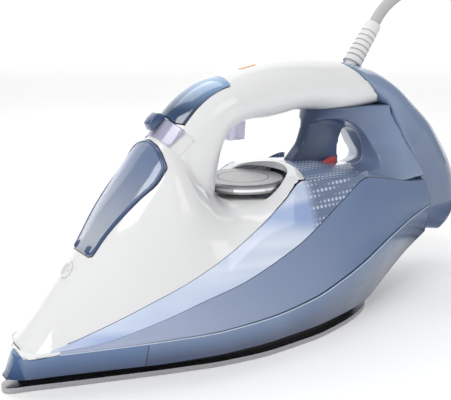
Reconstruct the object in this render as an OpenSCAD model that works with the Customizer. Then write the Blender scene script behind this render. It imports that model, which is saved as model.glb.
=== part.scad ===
// Steam iron, built up as separate parts in one frame.
// Lengths are millimetres. The nose points along -X, the heel along +X, +Z is up.
// The origin is on the ironing surface, at the middle of the body's length and width.
// Shape tables are in stations from the tip of the soleplate, and from_tip() places them.

/* [Body] */
// Length from the soleplate's tip to the back of the heel
body_l = 340; // [290:1:410]
// Width over the skirt at its widest
body_w = 108; // [92:1:130]
// Height from the soleplate's face to the top of the handle
body_h = 162; // [138:1:190]
// Wall of the moulded shells
wall = 2.4; // [1.8:0.1:3]
// Gap between neighbouring shells
seam = 0.35; // [0.2:0.05:0.6]

/* [Soleplate] */
// Length of the soleplate
sole_l = 243; // [205:1:292]
// Width of the soleplate
sole_w = 102; // [86:1:120]
// Thickness of the soleplate
sole_t = 3; // [2:0.5:5]
// Diameter of one steam vent
vent_d = 3; // [2:0.5:4]
// Height of the heater casting on the soleplate
casting_h = 11; // [9:0.5:14]
// Diameter of the heating element's tube
element_d = 7; // [5:0.5:8]

/* [Handle] */
// Width of the handle at the crease
handle_w = 38; // [32:1:46]
// Travel of the spray button
button_travel = 3; // [1:0.5:3]
// Travel of the steam trigger
trigger_travel = 3; // [1:0.5:3]

/* [Dial] */
// Diameter of the temperature dial
dial_d = 51; // [42:1:56]
// Height of the dial's knob
dial_h = 8; // [6:0.5:9]
// Diameter of the dial's spindle
spindle_d = 5; // [4:0.5:6]

/* [Filling door] */
// Diameter of the door's hinge pin
pin_d = 2.4; // [2:0.2:3]
// Bore of the filling cup
inlet_bore = 17; // [14:0.5:20]

/* [Cord] */
// Diameter of the mains cord
cord_d = 8; // [7:0.5:8]
// Diameter of the strain relief at its foot
relief_d = 13; // [11:0.5:14]
// Length of the strain relief
relief_l = 31; // [24:1:40]
// Diameter of the plug's body
plug_d = 37; // [32:1:40]
// Diameter of one plug pin
plug_pin_d = 4.8; // [4:0.1:5]
// Length of one plug pin
plug_pin_l = 19; // [15:0.5:22]
// Distance between the plug's pins
plug_pitch = 19; // [15:0.5:22]

/* [Hidden] */
$fn = 48;

// Scale of the shape tables against the body they were drawn for
kx = body_l / 340;
ky = body_w / 108;
kz = body_h / 162;
fit = 0.05;   // radial clearance of a running fit

// ---------- curves through tables ----------
// Each table row is [station, value]; the value runs smoothly between the rows.
function slope(tab, i) =
  i <= 0 ? (tab[1][1] - tab[0][1]) / (tab[1][0] - tab[0][0])
  : i >= len(tab) - 1 ? (tab[i][1] - tab[i - 1][1]) / (tab[i][0] - tab[i - 1][0])
  : let (a = (tab[i][1] - tab[i - 1][1]) / (tab[i][0] - tab[i - 1][0]),
         b = (tab[i + 1][1] - tab[i][1]) / (tab[i + 1][0] - tab[i][0]))
    a * b <= 0 ? 0 : 2 * a * b / (a + b);
function row_of(tab, t, i = 0) = i >= len(tab) - 2 || t < tab[i + 1][0] ? i : row_of(tab, t, i + 1);
function along(tab, t) =
  let (i = row_of(tab, t), h = tab[i + 1][0] - tab[i][0],
       u = min(max((t - tab[i][0]) / h, 0), 1),
       m0 = slope(tab, i) * h, m1 = slope(tab, i + 1) * h)
  tab[i][1] * (2 * u * u * u - 3 * u * u + 1) + m0 * (u * u * u - 2 * u * u + u)
  + tab[i + 1][1] * (3 * u * u - 2 * u * u * u) + m1 * (u * u * u - u * u);

// Plan outline of the soleplate: [station, half width] of a 243 x 102 plate
SOLE = [[0, 1.4], [1, 3.4], [4, 5.4], [11, 8], [32, 16.5], [56, 26], [82, 36], [111, 45.5],
        [140, 50.4], [168, 51], [195, 47.6], [221, 39.6], [234, 31], [240, 22], [243, 6]];
// Skirt's lower edge: height and half width
KEEL_Z = [[0, 8], [215, 8], [225, 9], [235, 12.5], [245, 18], [271, 33], [290, 41.5]];
KEEL_Y = [[0, 0], [2, 4], [9, 10], [23, 15.5], [38, 21.5], [55, 28.5], [73, 36], [92, 42],
          [110, 46.5], [141, 50], [165, 50], [197, 46.5], [220, 41.5], [246, 36.5], [290, 33]];
// Skirt's upper edge
EDGE_Z = [[0, 22], [9, 22], [75, 23.5], [106, 24.5], [140, 26], [165, 29], [190, 34.5],
          [210, 40], [226, 45.5], [243, 51.5], [266, 57.5], [290, 61.5]];
EDGE_Y = [[0, 0.5], [2, 2.2], [5, 3.4], [8.5, 4.6], [11, 12.5], [16, 17], [25, 21], [45, 29.5], [75, 41.5], [106, 51],
          [140, 54], [165, 54], [190, 52], [210, 49.5], [226, 47], [243, 44.5], [266, 40],
          [290, 35.5]];
// Line between the satin side panel and the clear tank wall
PANEL_Z = [[0, 22.2], [40, 25], [66, 32], [90, 40.5], [122, 48.5], [155, 60], [173, 68],
           [195, 79.5], [220, 91], [231, 89], [247, 85.5], [262, 82], [290, 78]];
PANEL_Y = [[0, 0.5], [5, 2.4], [8.5, 4.4], [11, 12.5], [16, 16.9], [25, 20.7], [45, 29], [66, 37], [90, 45],
           [122, 48.5], [155, 48], [173, 46], [195, 43], [220, 40.5], [247, 38], [270, 34.5],
           [290, 31]];
// Lower border of the white shell, and behind it the rim of the deck
RIM_Z = [[0, 22.4], [14, 23], [26, 26], [45, 33.5], [66, 42.5], [90, 52], [113, 62.5],
         [135, 73.5], [155, 84.5], [172, 94], [190, 93], [206, 92], [220, 91], [231, 89],
         [247, 85.5], [262, 82], [290, 78]];
RIM_Y = [[0, 0.5], [5, 2], [8.5, 4.2], [11, 12.5], [16, 16.6], [25, 20], [45, 28], [66, 35], [90, 40],
         [113, 42], [135, 41], [155, 38.5], [172, 35.5], [190, 37.5], [206, 39.5], [220, 40.5],
         [247, 38], [270, 34.5], [290, 31]];
// Crown of the body on its middle plane: front slope, deck, and under the rear column
CROWN_Z = [[0, 5], [2, 8], [9, 22.5], [14, 27.5], [21, 35.5], [33, 50.5], [38.5, 57.5], [47.5, 68.5],
           [54, 77.5], [62, 88.5], [70, 98.5], [79, 109], [84, 115], [90, 121], [98, 120],
           [108, 109], [120, 94], [130, 87], [148, 87], [158, 91], [166, 95], [174, 97.5],
           [184, 98.5], [200, 98], [220, 95], [247, 90], [262, 86.5], [290, 82]];
// Fullness of the flanks between the rim and the crown; a smaller value is fuller
FLANK = [[0, 0.42], [40, 0.42], [62, 0.36], [92, 0.36], [108, 0.5], [125, 0.62], [290, 0.62]];

// Handle loop: each row is [outer station, outer height, inner station, inner height,
// half width, fullness of the outer half]. It rises out of the body as the front column,
// runs back as the grip and comes down the heel.
LOOP = [[70, 96, 128, 84, 18.5, 2], [80, 109, 129, 96, 18.7, 2], [91, 123, 130, 106, 19, 2],
        [102, 135.5, 132, 114, 19, 2], [113, 144.5, 136, 121, 19, 2], [125, 150.5, 144, 126, 19, 2],
        [138, 153.5, 154, 127.5, 18.6, 2], [152, 157, 164, 127.5, 18.4, 2],
        [168, 160, 175, 128.5, 18.4, 2], [184, 161.6, 188, 130.5, 18.8, 2],
        [200, 162, 204, 130, 19.6, 2], [212, 161.5, 226, 127, 20.6, 2],
        [221, 160.5, 257, 130, 21.6, 2.2], [236, 157.5, 260, 126, 22.4, 2.4],
        [250, 154, 262, 121, 24, 2.6], [266, 145.5, 265, 116, 26, 2.8],
        [282, 133.5, 269, 108, 27.4, 3], [298, 120.5, 274, 100, 29, 3.2],
        [313, 107, 279, 90, 30.2, 2.6], [327, 92.5, 284, 79, 31.6, 2.2],
        [337, 76, 289, 67, 33, 2], [340, 61, 291, 58, 33.6, 2],
        [334, 46, 291, 50, 33.4, 2], [318, 37, 290, 43, 32.2, 2.2]];
BORDER = 12;      // row of LOOP where the white handle meets the heel cover
CREASE = 0.46;    // share of the handle's section below the crease
loop_rows = len(LOOP);

function half_width(tab, t) = ky * along(tab, t);
function sole_half(t) = sole_w / 102 * along(SOLE, t);

module from_tip() translate([-body_l / 2, 0, 0]) children();

// ---------- volumes ----------
// A chain of hulls through rings of points
module chain(rings) {
  for (i = [0 : len(rings) - 2])
    hull() polyhedron(concat(rings[i], rings[i + 1]), [
      [for (k = [0 : len(rings[i]) - 1]) k],
      [for (k = [0 : len(rings[i + 1]) - 1]) len(rings[i]) + k]]);
}

function both_sides(half) = concat(half, [for (p = half) [p[0], -p[1], p[2]]]);

// Section of the body at a station, drawn in by d
function body_ring(t, d) =
  let (rz = kz * min(along(RIM_Z, t), along(CROWN_Z, t)), cz = kz * along(CROWN_Z, t) - d,
       ry = max(half_width(RIM_Y, t) - d, 0.2), lowest = kz * along(KEEL_Z, t) + (d > 0 ? d : 0),
       pz = min(kz * along(PANEL_Z, t), rz), ez = min(kz * along(EDGE_Z, t), pz))
  both_sides(concat(
    [[t * kx, max(half_width(KEEL_Y, t) - d, 0.2), min(lowest, cz - 0.2)],
     [t * kx, max(half_width(EDGE_Y, t) - d, 0.2), min(ez, cz)],
     [t * kx, max(half_width(PANEL_Y, t) - d, 0.2), min(pz, cz)]],
    [for (v = [0 : 0.2 : 1])
      [t * kx, ry * pow(1 - v, along(FLANK, t)), max(min(rz, cz), min(rz, cz) + (cz - rz) * v)]]));

BODY_T = [2, 5, 9, 12, 16, 22, 28, 36, 45, 55, 65, 75, 89, 97, 108, 120, 130, 150, 172, 190, 206,
          220, 235, 250, 270, 290];
module body_volume(d, first = 0) {
  chain([for (i = [first : len(BODY_T) - 1]) body_ring(BODY_T[i] + (i == first ? d : 0), d)]);
}

// Section of the handle loop at row k, drawn in by d; u gives the part of the section kept
function loop_point(k, v, d) =
  let (r = LOOP[k], oz = r[1] * kz, ot = r[0] * kx, iz = r[3] * kz, it = r[2] * kx,
       span = norm([ot - it, oz - iz]), n = [(ot - it) / span, (oz - iz) / span],
       s = d + (span - 2 * d) * v)
  [it + n[0] * s, iz + n[1] * s];
function loop_half(k, v, d) =
  let (r = LOOP[k], w = r[4] * (k < BORDER ? handle_w / 38 : ky),
       p = r[5], x = v < CREASE ? (CREASE - v) / CREASE : (v - CREASE) / (1 - CREASE),
       low = k > BORDER ? 1 : pow(max(1 - pow(x, 2.2), 0), 0.45),
       y = v < CREASE ? low : pow(max(1 - pow(x, p), 0), 1 / p))
  max(w * y - d, 0.2);
function loop_ring(k, d, v0 = 0, v1 = 1) =
  both_sides([for (j = [0 : 8])
    let (v = v0 + (v1 - v0) * j / 8, q = loop_point(k, v, d)) [q[0], loop_half(k, v, d), q[1]]]);
module loop_volume(a, b, d, v0 = 0, v1 = 1) {
  chain([for (k = [a : b]) loop_ring(k, d, v0, v1)]);
}

// Plan levels of the rear column: [height, front station, then pairs of station and half width]
COLUMN = [[88, 184, [[188, 20], [206, 36], [231, 37], [282, 30]]],
          [98, 189, [[191, 9], [210, 24], [240, 30], [276, 29]]],
          [107, 197, [[199, 6], [215, 16], [240, 23], [270, 27]]],
          [116, 201, [[203, 7], [215, 16], [240, 21], [265, 25]]],
          [126, 204, [[207, 10], [218, 18], [240, 21], [259, 22.6]]]];
module column_volume(d) {
  chain([for (r = COLUMN) let (z = r[0] * kz + (r[0] == COLUMN[0][0] ? d : 0))
    both_sides(concat([[r[1] * kx + d, 0.2, z]],
      [for (p = r[2]) [p[0] * kx, max(p[1] * ky - d, 0.2), z]]))]);
}

// Prism across the body under a curve given as a table of heights
module below(tab, drop, t0 = -10, t1 = 400, floor_z = -10) {
  rows = [for (t = [t0 : 6 : t1]) [t * kx, kz * along(tab, t) - drop]];
  translate([0, 100, 0]) rotate([90, 0, 0]) linear_extrude(200)
    polygon(concat([[t0 * kx, floor_z]], rows, [[rows[len(rows) - 1][0], floor_z]]));
}
// Slab across the body between two stations
module slab(t0, t1, z0 = -10, z1 = 300) {
  translate([t0 * kx, -100, z0]) cube([(t1 - t0) * kx, 200, z1 - z0]);
}
// Outline in side view, carried across the body between y0 and y1
module side_prism(points, y0, y1, grow = 0) {
  translate([0, y1, 0]) rotate([90, 0, 0]) linear_extrude(y1 - y0)
    offset(delta = grow) polygon([for (p = points) [p[0] * kx, p[1] * kz]]);
}

// ---------- soleplate and heater ----------
function plate_outline(inset) =
  let (k = sole_l / 243, ts = concat([0, 0.4, 1, 2, 4], [for (t = [7 : 8 : 223]) t],
       [228, 232, 236, 239, 241, 242.4, 243]),
       edge = [for (t = ts) let (h = sole_half(t) - inset) if (h > 0)
                [inset + t * k * (sole_l - 2 * inset) / sole_l, h]])
  concat(edge, [for (i = [len(edge) - 1 : -1 : 0]) [edge[i][0], -edge[i][1]]]);
module plate(inset, z0, z1) translate([0, 0, z0]) linear_extrude(z1 - z0) polygon(plate_outline(inset));

// Steam vents: station and distance from the middle line
VENTS = [[30, 0], [48, 9], [68, 16], [86, 24.5], [114, 33.5], [140, 36], [168, 37], [196, 34]];
module vents(z0, z1) {
  for (r = VENTS, side = [-1, 1])
    if (r[1] > 0 || side > 0)
      translate([r[0] * sole_l / 243, side * r[1] * sole_w / 102, z0])
        cylinder(d = vent_d, h = z1 - z0);
}
module soleplate() color([0.75, 0.75, 0.76]) from_tip() difference() {
  plate(0, 0, sole_t);
  vents(-1, sole_t + 1);
}

casting_z = sole_t + 0.1;
casting_top = casting_z + casting_h;
element_z = casting_top - element_d / 2 - 1.5;
element_r = sole_w * 0.27;
bend_t = sole_l * 0.453;      // middle of the element's bend
leg_end = sole_l * 0.84;      // where the element's legs end
chamber_t = [sole_l * 0.39, sole_l * 0.55];
chamber_y = sole_w * 0.13;
shield_screws = [[52, 0], [212, 20], [212, -20]];
screw_d = 3;

module screw_holes(z0, z1, d) {
  for (p = shield_screws)
    translate([p[0] * sole_l / 243, p[1] * sole_w / 102, z0]) cylinder(d = d, h = z1 - z0);
}
// U-shaped path of the heating element, its bend towards the nose
module element_path(r) {
  translate([bend_t, 0, element_z]) rotate([0, 0, 90]) rotate_extrude(angle = 180)
    translate([element_r, 0]) circle(r = r);
  for (side = [-1, 1]) translate([bend_t, side * element_r, element_z])
    rotate([0, 90, 0]) cylinder(r = r, h = leg_end - bend_t);
}
// Open channel in which the element lies
channel_gap = 0.25;
function arc(r, a0, a1) = [for (a = [a0 : (a1 - a0) / 30 : a1]) [bend_t + r * cos(a), r * sin(a)]];
module element_channel() {
  outer = element_r + element_d / 2 + channel_gap;
  inner = element_r - element_d / 2 - channel_gap;
  translate([0, 0, element_z - element_d / 2 - channel_gap]) linear_extrude(casting_h)
    polygon(concat([[leg_end + channel_gap, outer]], arc(outer, 90, 270),
      [[leg_end + channel_gap, -outer], [leg_end + channel_gap, -inner]], arc(inner, 270, 90),
      [[leg_end + channel_gap, inner]]));
}
module heater_casting() color([0.62, 0.62, 0.64]) from_tip() difference() {
  plate(9, casting_z, casting_top);
  translate([chamber_t[0], -chamber_y, casting_z + 3])
    cube([chamber_t[1] - chamber_t[0], 2 * chamber_y, casting_h]);
  element_channel();
  vents(casting_z - 1, casting_top + 1);
  screw_holes(casting_z + 2, casting_top + 1, screw_d + 0.1);
}
module heating_element() color([0.45, 0.42, 0.4]) from_tip() element_path(element_d / 2);

gasket_t = 0.5;
cover_z = casting_top + gasket_t;
cover_t = 1.2;
module chamber_frame(grow, z, h) translate([chamber_t[0] - grow, -chamber_y - grow, z])
  cube([chamber_t[1] - chamber_t[0] + 2 * grow, 2 * (chamber_y + grow), h]);
module chamber_gasket() color([0.75, 0.3, 0.2]) from_tip() difference() {
  chamber_frame(4, casting_top, gasket_t);
  chamber_frame(1, casting_top - 1, gasket_t + 2);
}
module chamber_cover() color([0.7, 0.7, 0.72]) from_tip() difference() {
  chamber_frame(4, cover_z, cover_t);
  translate([valve_t, 0, cover_z - 1]) cylinder(d = 6, h = cover_t + 2);
}

shield_top = cover_z + cover_t + 1.8;
fuse_t = sole_l * 0.87;
module heat_shield() color([0.06, 0.06, 0.07]) from_tip() difference() {
  plate(4.5, sole_t + 0.05, shield_top);
  plate(7.5, sole_t - 1, shield_top - 1.5);
  translate([valve_t, 0, 0]) cylinder(d = seat_d + 1, h = 60);
  translate([dial_t, 0, 0]) cylinder(d = thermostat_d + 2, h = 60);
  translate([fuse_t - 5, -12, shield_top - 3]) cube([10, 24, 6]);
  screw_holes(0, 60, screw_d + 0.1);
}

// ---------- outer panels ----------
module skirt() color([0.2, 0.33, 0.52]) from_tip() difference() {
  intersection() {
    body_volume(0);
    below(EDGE_Z, 0.3);
    slab(-10, 289.5);
  }
  body_volume(wall, 2);
  plate(4.2, -5, shield_top + 4);
}

PANEL_T = [for (t = [26 : 12 : 278]) t, 288];
function panel_ring(t, side) =
  let (top = min(t, 283.2), ye = half_width(EDGE_Y, t), yp = half_width(PANEL_Y, top),
       ze = kz * along(EDGE_Z, t) + seam, zp = kz * along(PANEL_Z, top))
  [[t * kx, side * ye, ze], [top * kx, side * yp, zp], [top * kx, side * (yp - wall), zp],
   [t * kx, side * (ye - wall), ze]];
// Closed solid through rings with the same number of points
module skin(rings) {
  n = len(rings[0]);
  last = (len(rings) - 1) * n;
  polyhedron([for (r = rings) each r], concat(
    [[for (k = [0 : n - 1]) k]], [[for (k = [n - 1 : -1 : 0]) last + k]],
    [for (i = [0 : n : last - n], k = [0 : n - 1]) let (j = (k + 1) % n)
      each [[i + k, i + n + k, i + j], [i + j, i + n + k, i + n + j]]]));
}
module side_panel_left() color([0.58, 0.64, 0.76]) from_tip()
  skin([for (t = PANEL_T) panel_ring(t, 1)]);
module side_panel_right() color([0.58, 0.64, 0.76]) from_tip()
  skin([for (i = [len(PANEL_T) - 1 : -1 : 0]) panel_ring(PANEL_T[i], -1)]);

// ---------- water tank ----------
tank_floor = shield_top + 3;
TANK_TOP = [[45, 34], [58, 47], [75, 66], [90, 74], [125, 76], [150, 80], [172, 84], [215, 84]];
dial_t = 153.65 * kx;
valve_t = 104 * kx;
column_foot = 36.6 * ky;         // half width of the room under the rear column
module tank_volume(d) intersection() {
  union() {
    intersection() {
      body_volume(seam + d);
      below(RIM_Z, seam + d);
      difference() { slab(20, 215); below(PANEL_Z, -seam - d); }
    }
    intersection() { body_volume(wall + 2 * seam + d); below(TANK_TOP, d, 48, 214); }
  }
  difference() {
    slab(22 + d, 215 - d);
    slab(0, 300, -20, tank_floor + d);
    translate([dial_t, 0, recess_z - wall - seam - d])
      cylinder(r = dial_d / 2 + dial_gap + wall + seam + d, h = 60);
    translate([COLUMN[0][1] * kx - 1 - d, -column_foot - d, COLUMN[0][0] * kz - seam - d])
      cube([200, 2 * (column_foot + d), 100]);
  }
}
module water_tank() color([0.72, 0.8, 0.95, 0.5]) from_tip() difference() {
  union() {
    difference() { tank_volume(0); tank_volume(1.8); }
    intersection() {
      tank_volume(0);
      union() {
        translate([dial_t, 0, 0]) cylinder(d = thermostat_d - 6, h = 200);
        translate([valve_t, 0, 0]) cylinder(d = 13, h = 200);
        neck_tube(inlet_bore / 2 - 1);
      }
    }
  }
  translate([dial_t, 0, 0]) cylinder(d = thermostat_d - 9, h = 200);
  translate([valve_t, 0, 0]) cylinder(d = 10, h = 200);
  neck_tube(inlet_bore / 2 - 3);
}

// ---------- filling cup and door ----------
door_tilt = atan2(53 * kz, 42 * kx);       // slope of the front above the soleplate
cup_t = 78 * kx;
cup_z = 96.6 * kz;
cup_len = 16;
// Frame on the front slope: +Z is the slope's outward normal, +X runs up the slope
module on_slope(t, z) translate([t, 0, z]) rotate([0, -door_tilt, 0]) children();
module neck_tube(r) translate([cup_t + 8, 0, 30]) cylinder(r = r, h = cup_z - 38);
module inlet_cup() color([0.5, 0.6, 0.78]) from_tip() on_slope(cup_t, cup_z) difference() {
  union() {
    translate([0, 0, -cup_len]) cylinder(d = inlet_bore + 4, h = cup_len);
    translate([0, 0, -2]) cylinder(d = inlet_bore + 8, h = 2);
  }
  translate([0, 0, -cup_len + 2]) cylinder(d = inlet_bore, h = cup_len);
  translate([0, 0, -cup_len - 1]) cylinder(d = inlet_bore / 2, h = cup_len);
}
module inlet_seal() color([0.85, 0.85, 0.82]) from_tip() on_slope(cup_t, cup_z)
  rotate_extrude() translate([inlet_bore / 2 + 2.6, 0.65]) circle(r = 0.6);

hinge_t = 48 * kx;
hinge_z = 68 * kz;
knuckle_y = [5, 8];              // from the middle to each side of a knuckle
module on_pin(y0, y1) translate([hinge_t, y1, hinge_z - 3.2]) rotate([90, 0, 0])
  linear_extrude(y1 - y0) children();
door_gap = 0.65;                 // round the door, so that its top edge clears as it swings
module pin_bore() on_pin(-20, 20) circle(d = pin_d + 2 * fit);
// Door outline on the slope: [distance up the slope from the hinge, half width]
DOOR = [[-4, 8], [-1, 11], [8, 12.2], [24, 15.6], [37, 18.2], [49, 20.6], [56, 20.4], [61, 16.5],
        [65.5, 9], [67.5, 0]];
module door_outline(grow) {
  right = [for (p = DOOR) [p[0] * kz, p[1] * ky]];
  offset(delta = grow) polygon(concat(right,
    [for (i = [len(right) - 2 : -1 : 0]) [right[i][0], -right[i][1]]]));
}
module door_cutter(grow) on_slope(hinge_t, hinge_z) translate([0, 0, -12]) linear_extrude(60) door_outline(grow);
module filling_door() color([0.5, 0.6, 0.85, 0.6]) from_tip() difference() {
  union() {
    intersection() {
      difference() { body_volume(0); body_volume(2.2); }
      door_cutter(0);
    }
    difference() {
      intersection() { body_volume(0.4); door_cutter(-2); }
      body_volume(4.5);
      door_cutter(-4);
    }
    for (side = [-1, 1]) on_pin(min(side * knuckle_y[0], side * knuckle_y[1]),
                                max(side * knuckle_y[0], side * knuckle_y[1])) hull() {
      circle(d = pin_d + 2.4);
      translate([4, 7]) circle(d = 3);
    }
  }
  pin_bore();
  on_pin(-knuckle_y[0] + 0.3, knuckle_y[0] - 0.3) circle(d = pin_d + 4.6);
}
module door_hinge_pin() color([0.7, 0.7, 0.7]) from_tip()
  on_pin(-knuckle_y[1] - 0.6, knuckle_y[1] + 0.6) circle(d = pin_d);

// ---------- white housing ----------
thermostat_d = 22;
seat_d = 9;
dial_gap = 1.2;                  // gap round the dial in its recess
dial_top = 92.5 * kz;
recess_z = dial_top - dial_h - 0.8;
deck_r = 58.5;                   // radius of the white deck's rear edge
deck_t = 184 * kx - deck_r;      // middle of that arc
module front_of_deck(grow) {
  slab(-10, 126);
  translate([deck_t, 0, -10]) cylinder(r = deck_r + grow, h = 400, $fn = 96);
}
// Side outline of the spray button
BUTTON = [[100, 131], [110, 130], [115, 137], [122, 143], [129, 147.5], [135, 149.5], [136, 175],
          [95, 175]];
button_y = 13;
module button_space() {
  for (s = [0 : 0.5 : button_travel])
    translate([0, 0, -s]) side_prism(BUTTON, -button_y - seam, button_y + seam, seam);
}
// Side outline of the steam trigger
TRIGGER = [[137.5, 131], [138, 117], [148.5, 117], [149.5, 131]];
trigger_y = 8;
module trigger_space() side_prism([[137.5, 140], [138, 112], [148.5, 112], [149.5, 140]],
                                  -trigger_y - 0.5, trigger_y + 0.5, 0.5);

// Axis of the steam slider, along the front ridge
slider_tilt = atan2(77, 63);     // from +Z towards +X
slider_t = 105.5 * kx;
slider_z = 114 * kz;
slider_r = 19.6;
module on_slider() translate([slider_t, 0, slider_z]) rotate([0, slider_tilt, 0]) children();
module slider_band(r0, r1, h, reach) rotate([0, 0, 180 - reach])
  translate([0, 0, -h / 2]) rotate_extrude(angle = 2 * reach) translate([r0, 0]) square([r1 - r0, h]);
slider_range = 25;
slider_space_h = 12.8;
module slider_space() on_slider() {
  slider_band(16.6, 40, slider_space_h, 34 + slider_range);
  slider_band(0.5, 17, 5, slider_range + 12);
  cylinder(r = 3.3, h = 8.6, center = true);
  translate([-40, -10, -slider_space_h / 2]) cube([24, 20, 22]);
}

nozzle_t = 38.5 * kx;
nozzle_z = 57.5 * kz;
nozzle_tilt = atan2(18 * kz, 14.5 * kx);
module on_nozzle() translate([nozzle_t, 0, nozzle_z]) rotate([0, -nozzle_tilt, 0]) children();

module white_outside() {
  intersection() {
    difference() { body_volume(0); below(RIM_Z, -seam); }
    front_of_deck(0);
  }
  loop_volume(0, BORDER, 0);
}
module dial_recess(grow, z) translate([dial_t, 0, z]) cylinder(d = dial_d + 2 * (dial_gap + grow), h = 14);
module white_inside() {
  difference() {
    union() {
      body_volume(wall);
      loop_volume(0, BORDER, wall);
    }
    dial_recess(wall, recess_z - wall);
  }
}
// Lug between the door's knuckles that carries the hinge pin
module hinge_lug() intersection() {
  body_volume(0.3);
  on_pin(-knuckle_y[0] + 0.7, knuckle_y[0] - 0.7) hull() {
    circle(d = pin_d + 2.4);
    translate([-3.4, -3]) circle(d = 2.4);
  }
}
module upper_shell() color([0.95, 0.95, 0.95]) from_tip() difference() {
  union() {
    difference() {
      white_outside();
      white_inside();
      door_cutter(door_gap);
      on_pin(-9.8, 9.8) circle(d = pin_d + 3.6);
    }
    hinge_lug();
  }
  pin_bore();
  intersection() { dial_recess(0, recess_z); slab(127.6, 184); }
  loop_volume(3, BORDER, -1, CREASE - 0.012, 1);
  button_space();
  trigger_space();
  slider_space();
  on_nozzle() translate([0, 0, -9]) cylinder(d = nozzle_d + 0.2, h = 20);
  translate([dial_t, 0, 0]) cylinder(d = spindle_d + 1, h = 200);
}
module handle_cover() color([0.96, 0.96, 0.96]) from_tip() difference() {
  loop_volume(3, BORDER, 0, CREASE, 1);
  loop_volume(3, BORDER, wall);
  button_space();
  slider_space();
  light_lens(0.05);
}

// ---------- heel ----------
module rear_deck() color([0.4, 0.48, 0.62]) from_tip() difference() {
  intersection() {
    difference() { body_volume(0); body_volume(wall); below(RIM_Z, -seam); }
    slab(171, 288);
  }
  front_of_deck(seam);
  column_volume(-seam);
  loop_volume(BORDER, loop_rows - 1, -seam);
  lamp_lens(0.05);
}

// Opening beside the web of the rear column, in side view, and the opening right through it
SCOOP = [[180, 96], [189, 100], [196, 108], [199, 118], [212, 124], [226, 120.5], [237, 111],
         [241, 99], [236, 93], [214, 92], [195, 93]];
EYE = [[229.5, 98], [229.5, 107], [234, 116], [244, 112.5], [251, 104], [257, 96], [252, 91],
       [232, 91]];
web_y = 4.5;
module column_openings(grow) {
  for (side = [-1, 1]) hull() {
    side_prism(SCOOP, side > 0 ? 39 : -40, side > 0 ? 40 : -39, -grow);
    side_prism(concat(SCOOP, [[250, 108], [255, 98]]), side > 0 ? web_y + grow : -web_y - grow - 1,
               side > 0 ? web_y + grow + 1 : -web_y - grow, -grow);
  }
  side_prism(EYE, -10, 10, -grow);
}
module rear_column() color([0.45, 0.53, 0.68]) from_tip() difference() {
  column_volume(0);
  loop_volume(8, loop_rows - 1, -seam);
  column_openings(0);
  difference() { column_volume(wall); column_openings(-wall); }
  lamp_lens(0.05);
}
// Seam where the heel cover meets the white handle
border = LOOP[BORDER];
module border_gap() translate([border[0] * kx, 0, border[1] * kz])
  rotate([0, atan2((border[1] - border[3]) * kz, (border[2] - border[0]) * kx), 0])
    translate([-20, -60, -1]) cube([100, 120, seam + 1]);
module rear_cover() color([0.3, 0.42, 0.6]) from_tip() difference() {
  loop_volume(BORDER, loop_rows - 1, 0);
  border_gap();
  loop_volume(BORDER, loop_rows - 2, wall, -0.35, 1);
  on_relief() translate([0, 0, -12]) cylinder(d = relief_d + 1.2, h = 30);
  for (side = [-1, 1]) foot_block(side, 0.05);
}
foot_at = [336.8 * kx, 71 * kz];
foot_tilt = atan2(19 * kz, 6 * kx);
module foot_block(side, grow) translate([foot_at[0], side * 12 * ky, foot_at[1]])
  rotate([0, foot_tilt, 0]) translate([-8 - grow, -4 - grow, -2.4 - grow])
    cube([16 + 2 * grow, 8 + 2 * grow, 3.2 + 2 * grow]);
module heel_feet() color([0.12, 0.12, 0.14]) from_tip() for (side = [-1, 1]) foot_block(side, 0);

module lamp_lens(grow) translate([216 * kx, -9 * ky, 95 * kz]) rotate([0, -12, 12])
  translate([-7 - grow, -2 - grow, -1.2 - grow]) cube([14 + 2 * grow, 4 + 2 * grow, 3.2 + 2 * grow]);
module indicator_lamp() color([0.9, 0.3, 0.2]) from_tip() lamp_lens(0);
module light_lens(grow) translate([156 * kx, 0, 157.9 * kz]) rotate([0, -12, 0]) translate([0, 0, -3])
  linear_extrude(3.2) for (s = [-1, 1]) translate([s * 2.5, 0]) square([6 + 2 * grow, 3 + 2 * grow], center = true);
module handle_light() color([0.95, 0.6, 0.35]) from_tip() light_lens(0);

// ---------- spray and steam controls ----------
nozzle_d = 9;
module spray_nozzle() color([0.9, 0.9, 0.9]) from_tip() on_nozzle() difference() {
  translate([0, 0, -8]) cylinder(d = nozzle_d, h = 8.6);
  translate([0, 0, -0.6]) cylinder(d = nozzle_d - 2.4, h = 3);
  translate([0, 0, -9]) cylinder(d = 1, h = 12);
}
function at(t, y, z) = [t * kx, y * ky, z * kz];
hose_d = 3.6;
module spray_hose() color([0.85, 0.85, 0.8]) from_tip()
  tube([[nozzle_t + 8.1 * sin(nozzle_tilt), 0, nozzle_z - 8.1 * cos(nozzle_tilt)],
        [nozzle_t + 12 * sin(nozzle_tilt), 0, nozzle_z - 12 * cos(nozzle_tilt)],
        at(55, -8, 55), at(66, -15, 68), at(82, -16, 80), at(96, -10, 90),
        [spray_at[0] - pump_d / 2 - 6.5, spray_at[1], pump_z[0] + 4],
        [spray_at[0] - pump_d / 2 - 3.1, spray_at[1], pump_z[0] + 4]], hose_d, 2);

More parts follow.
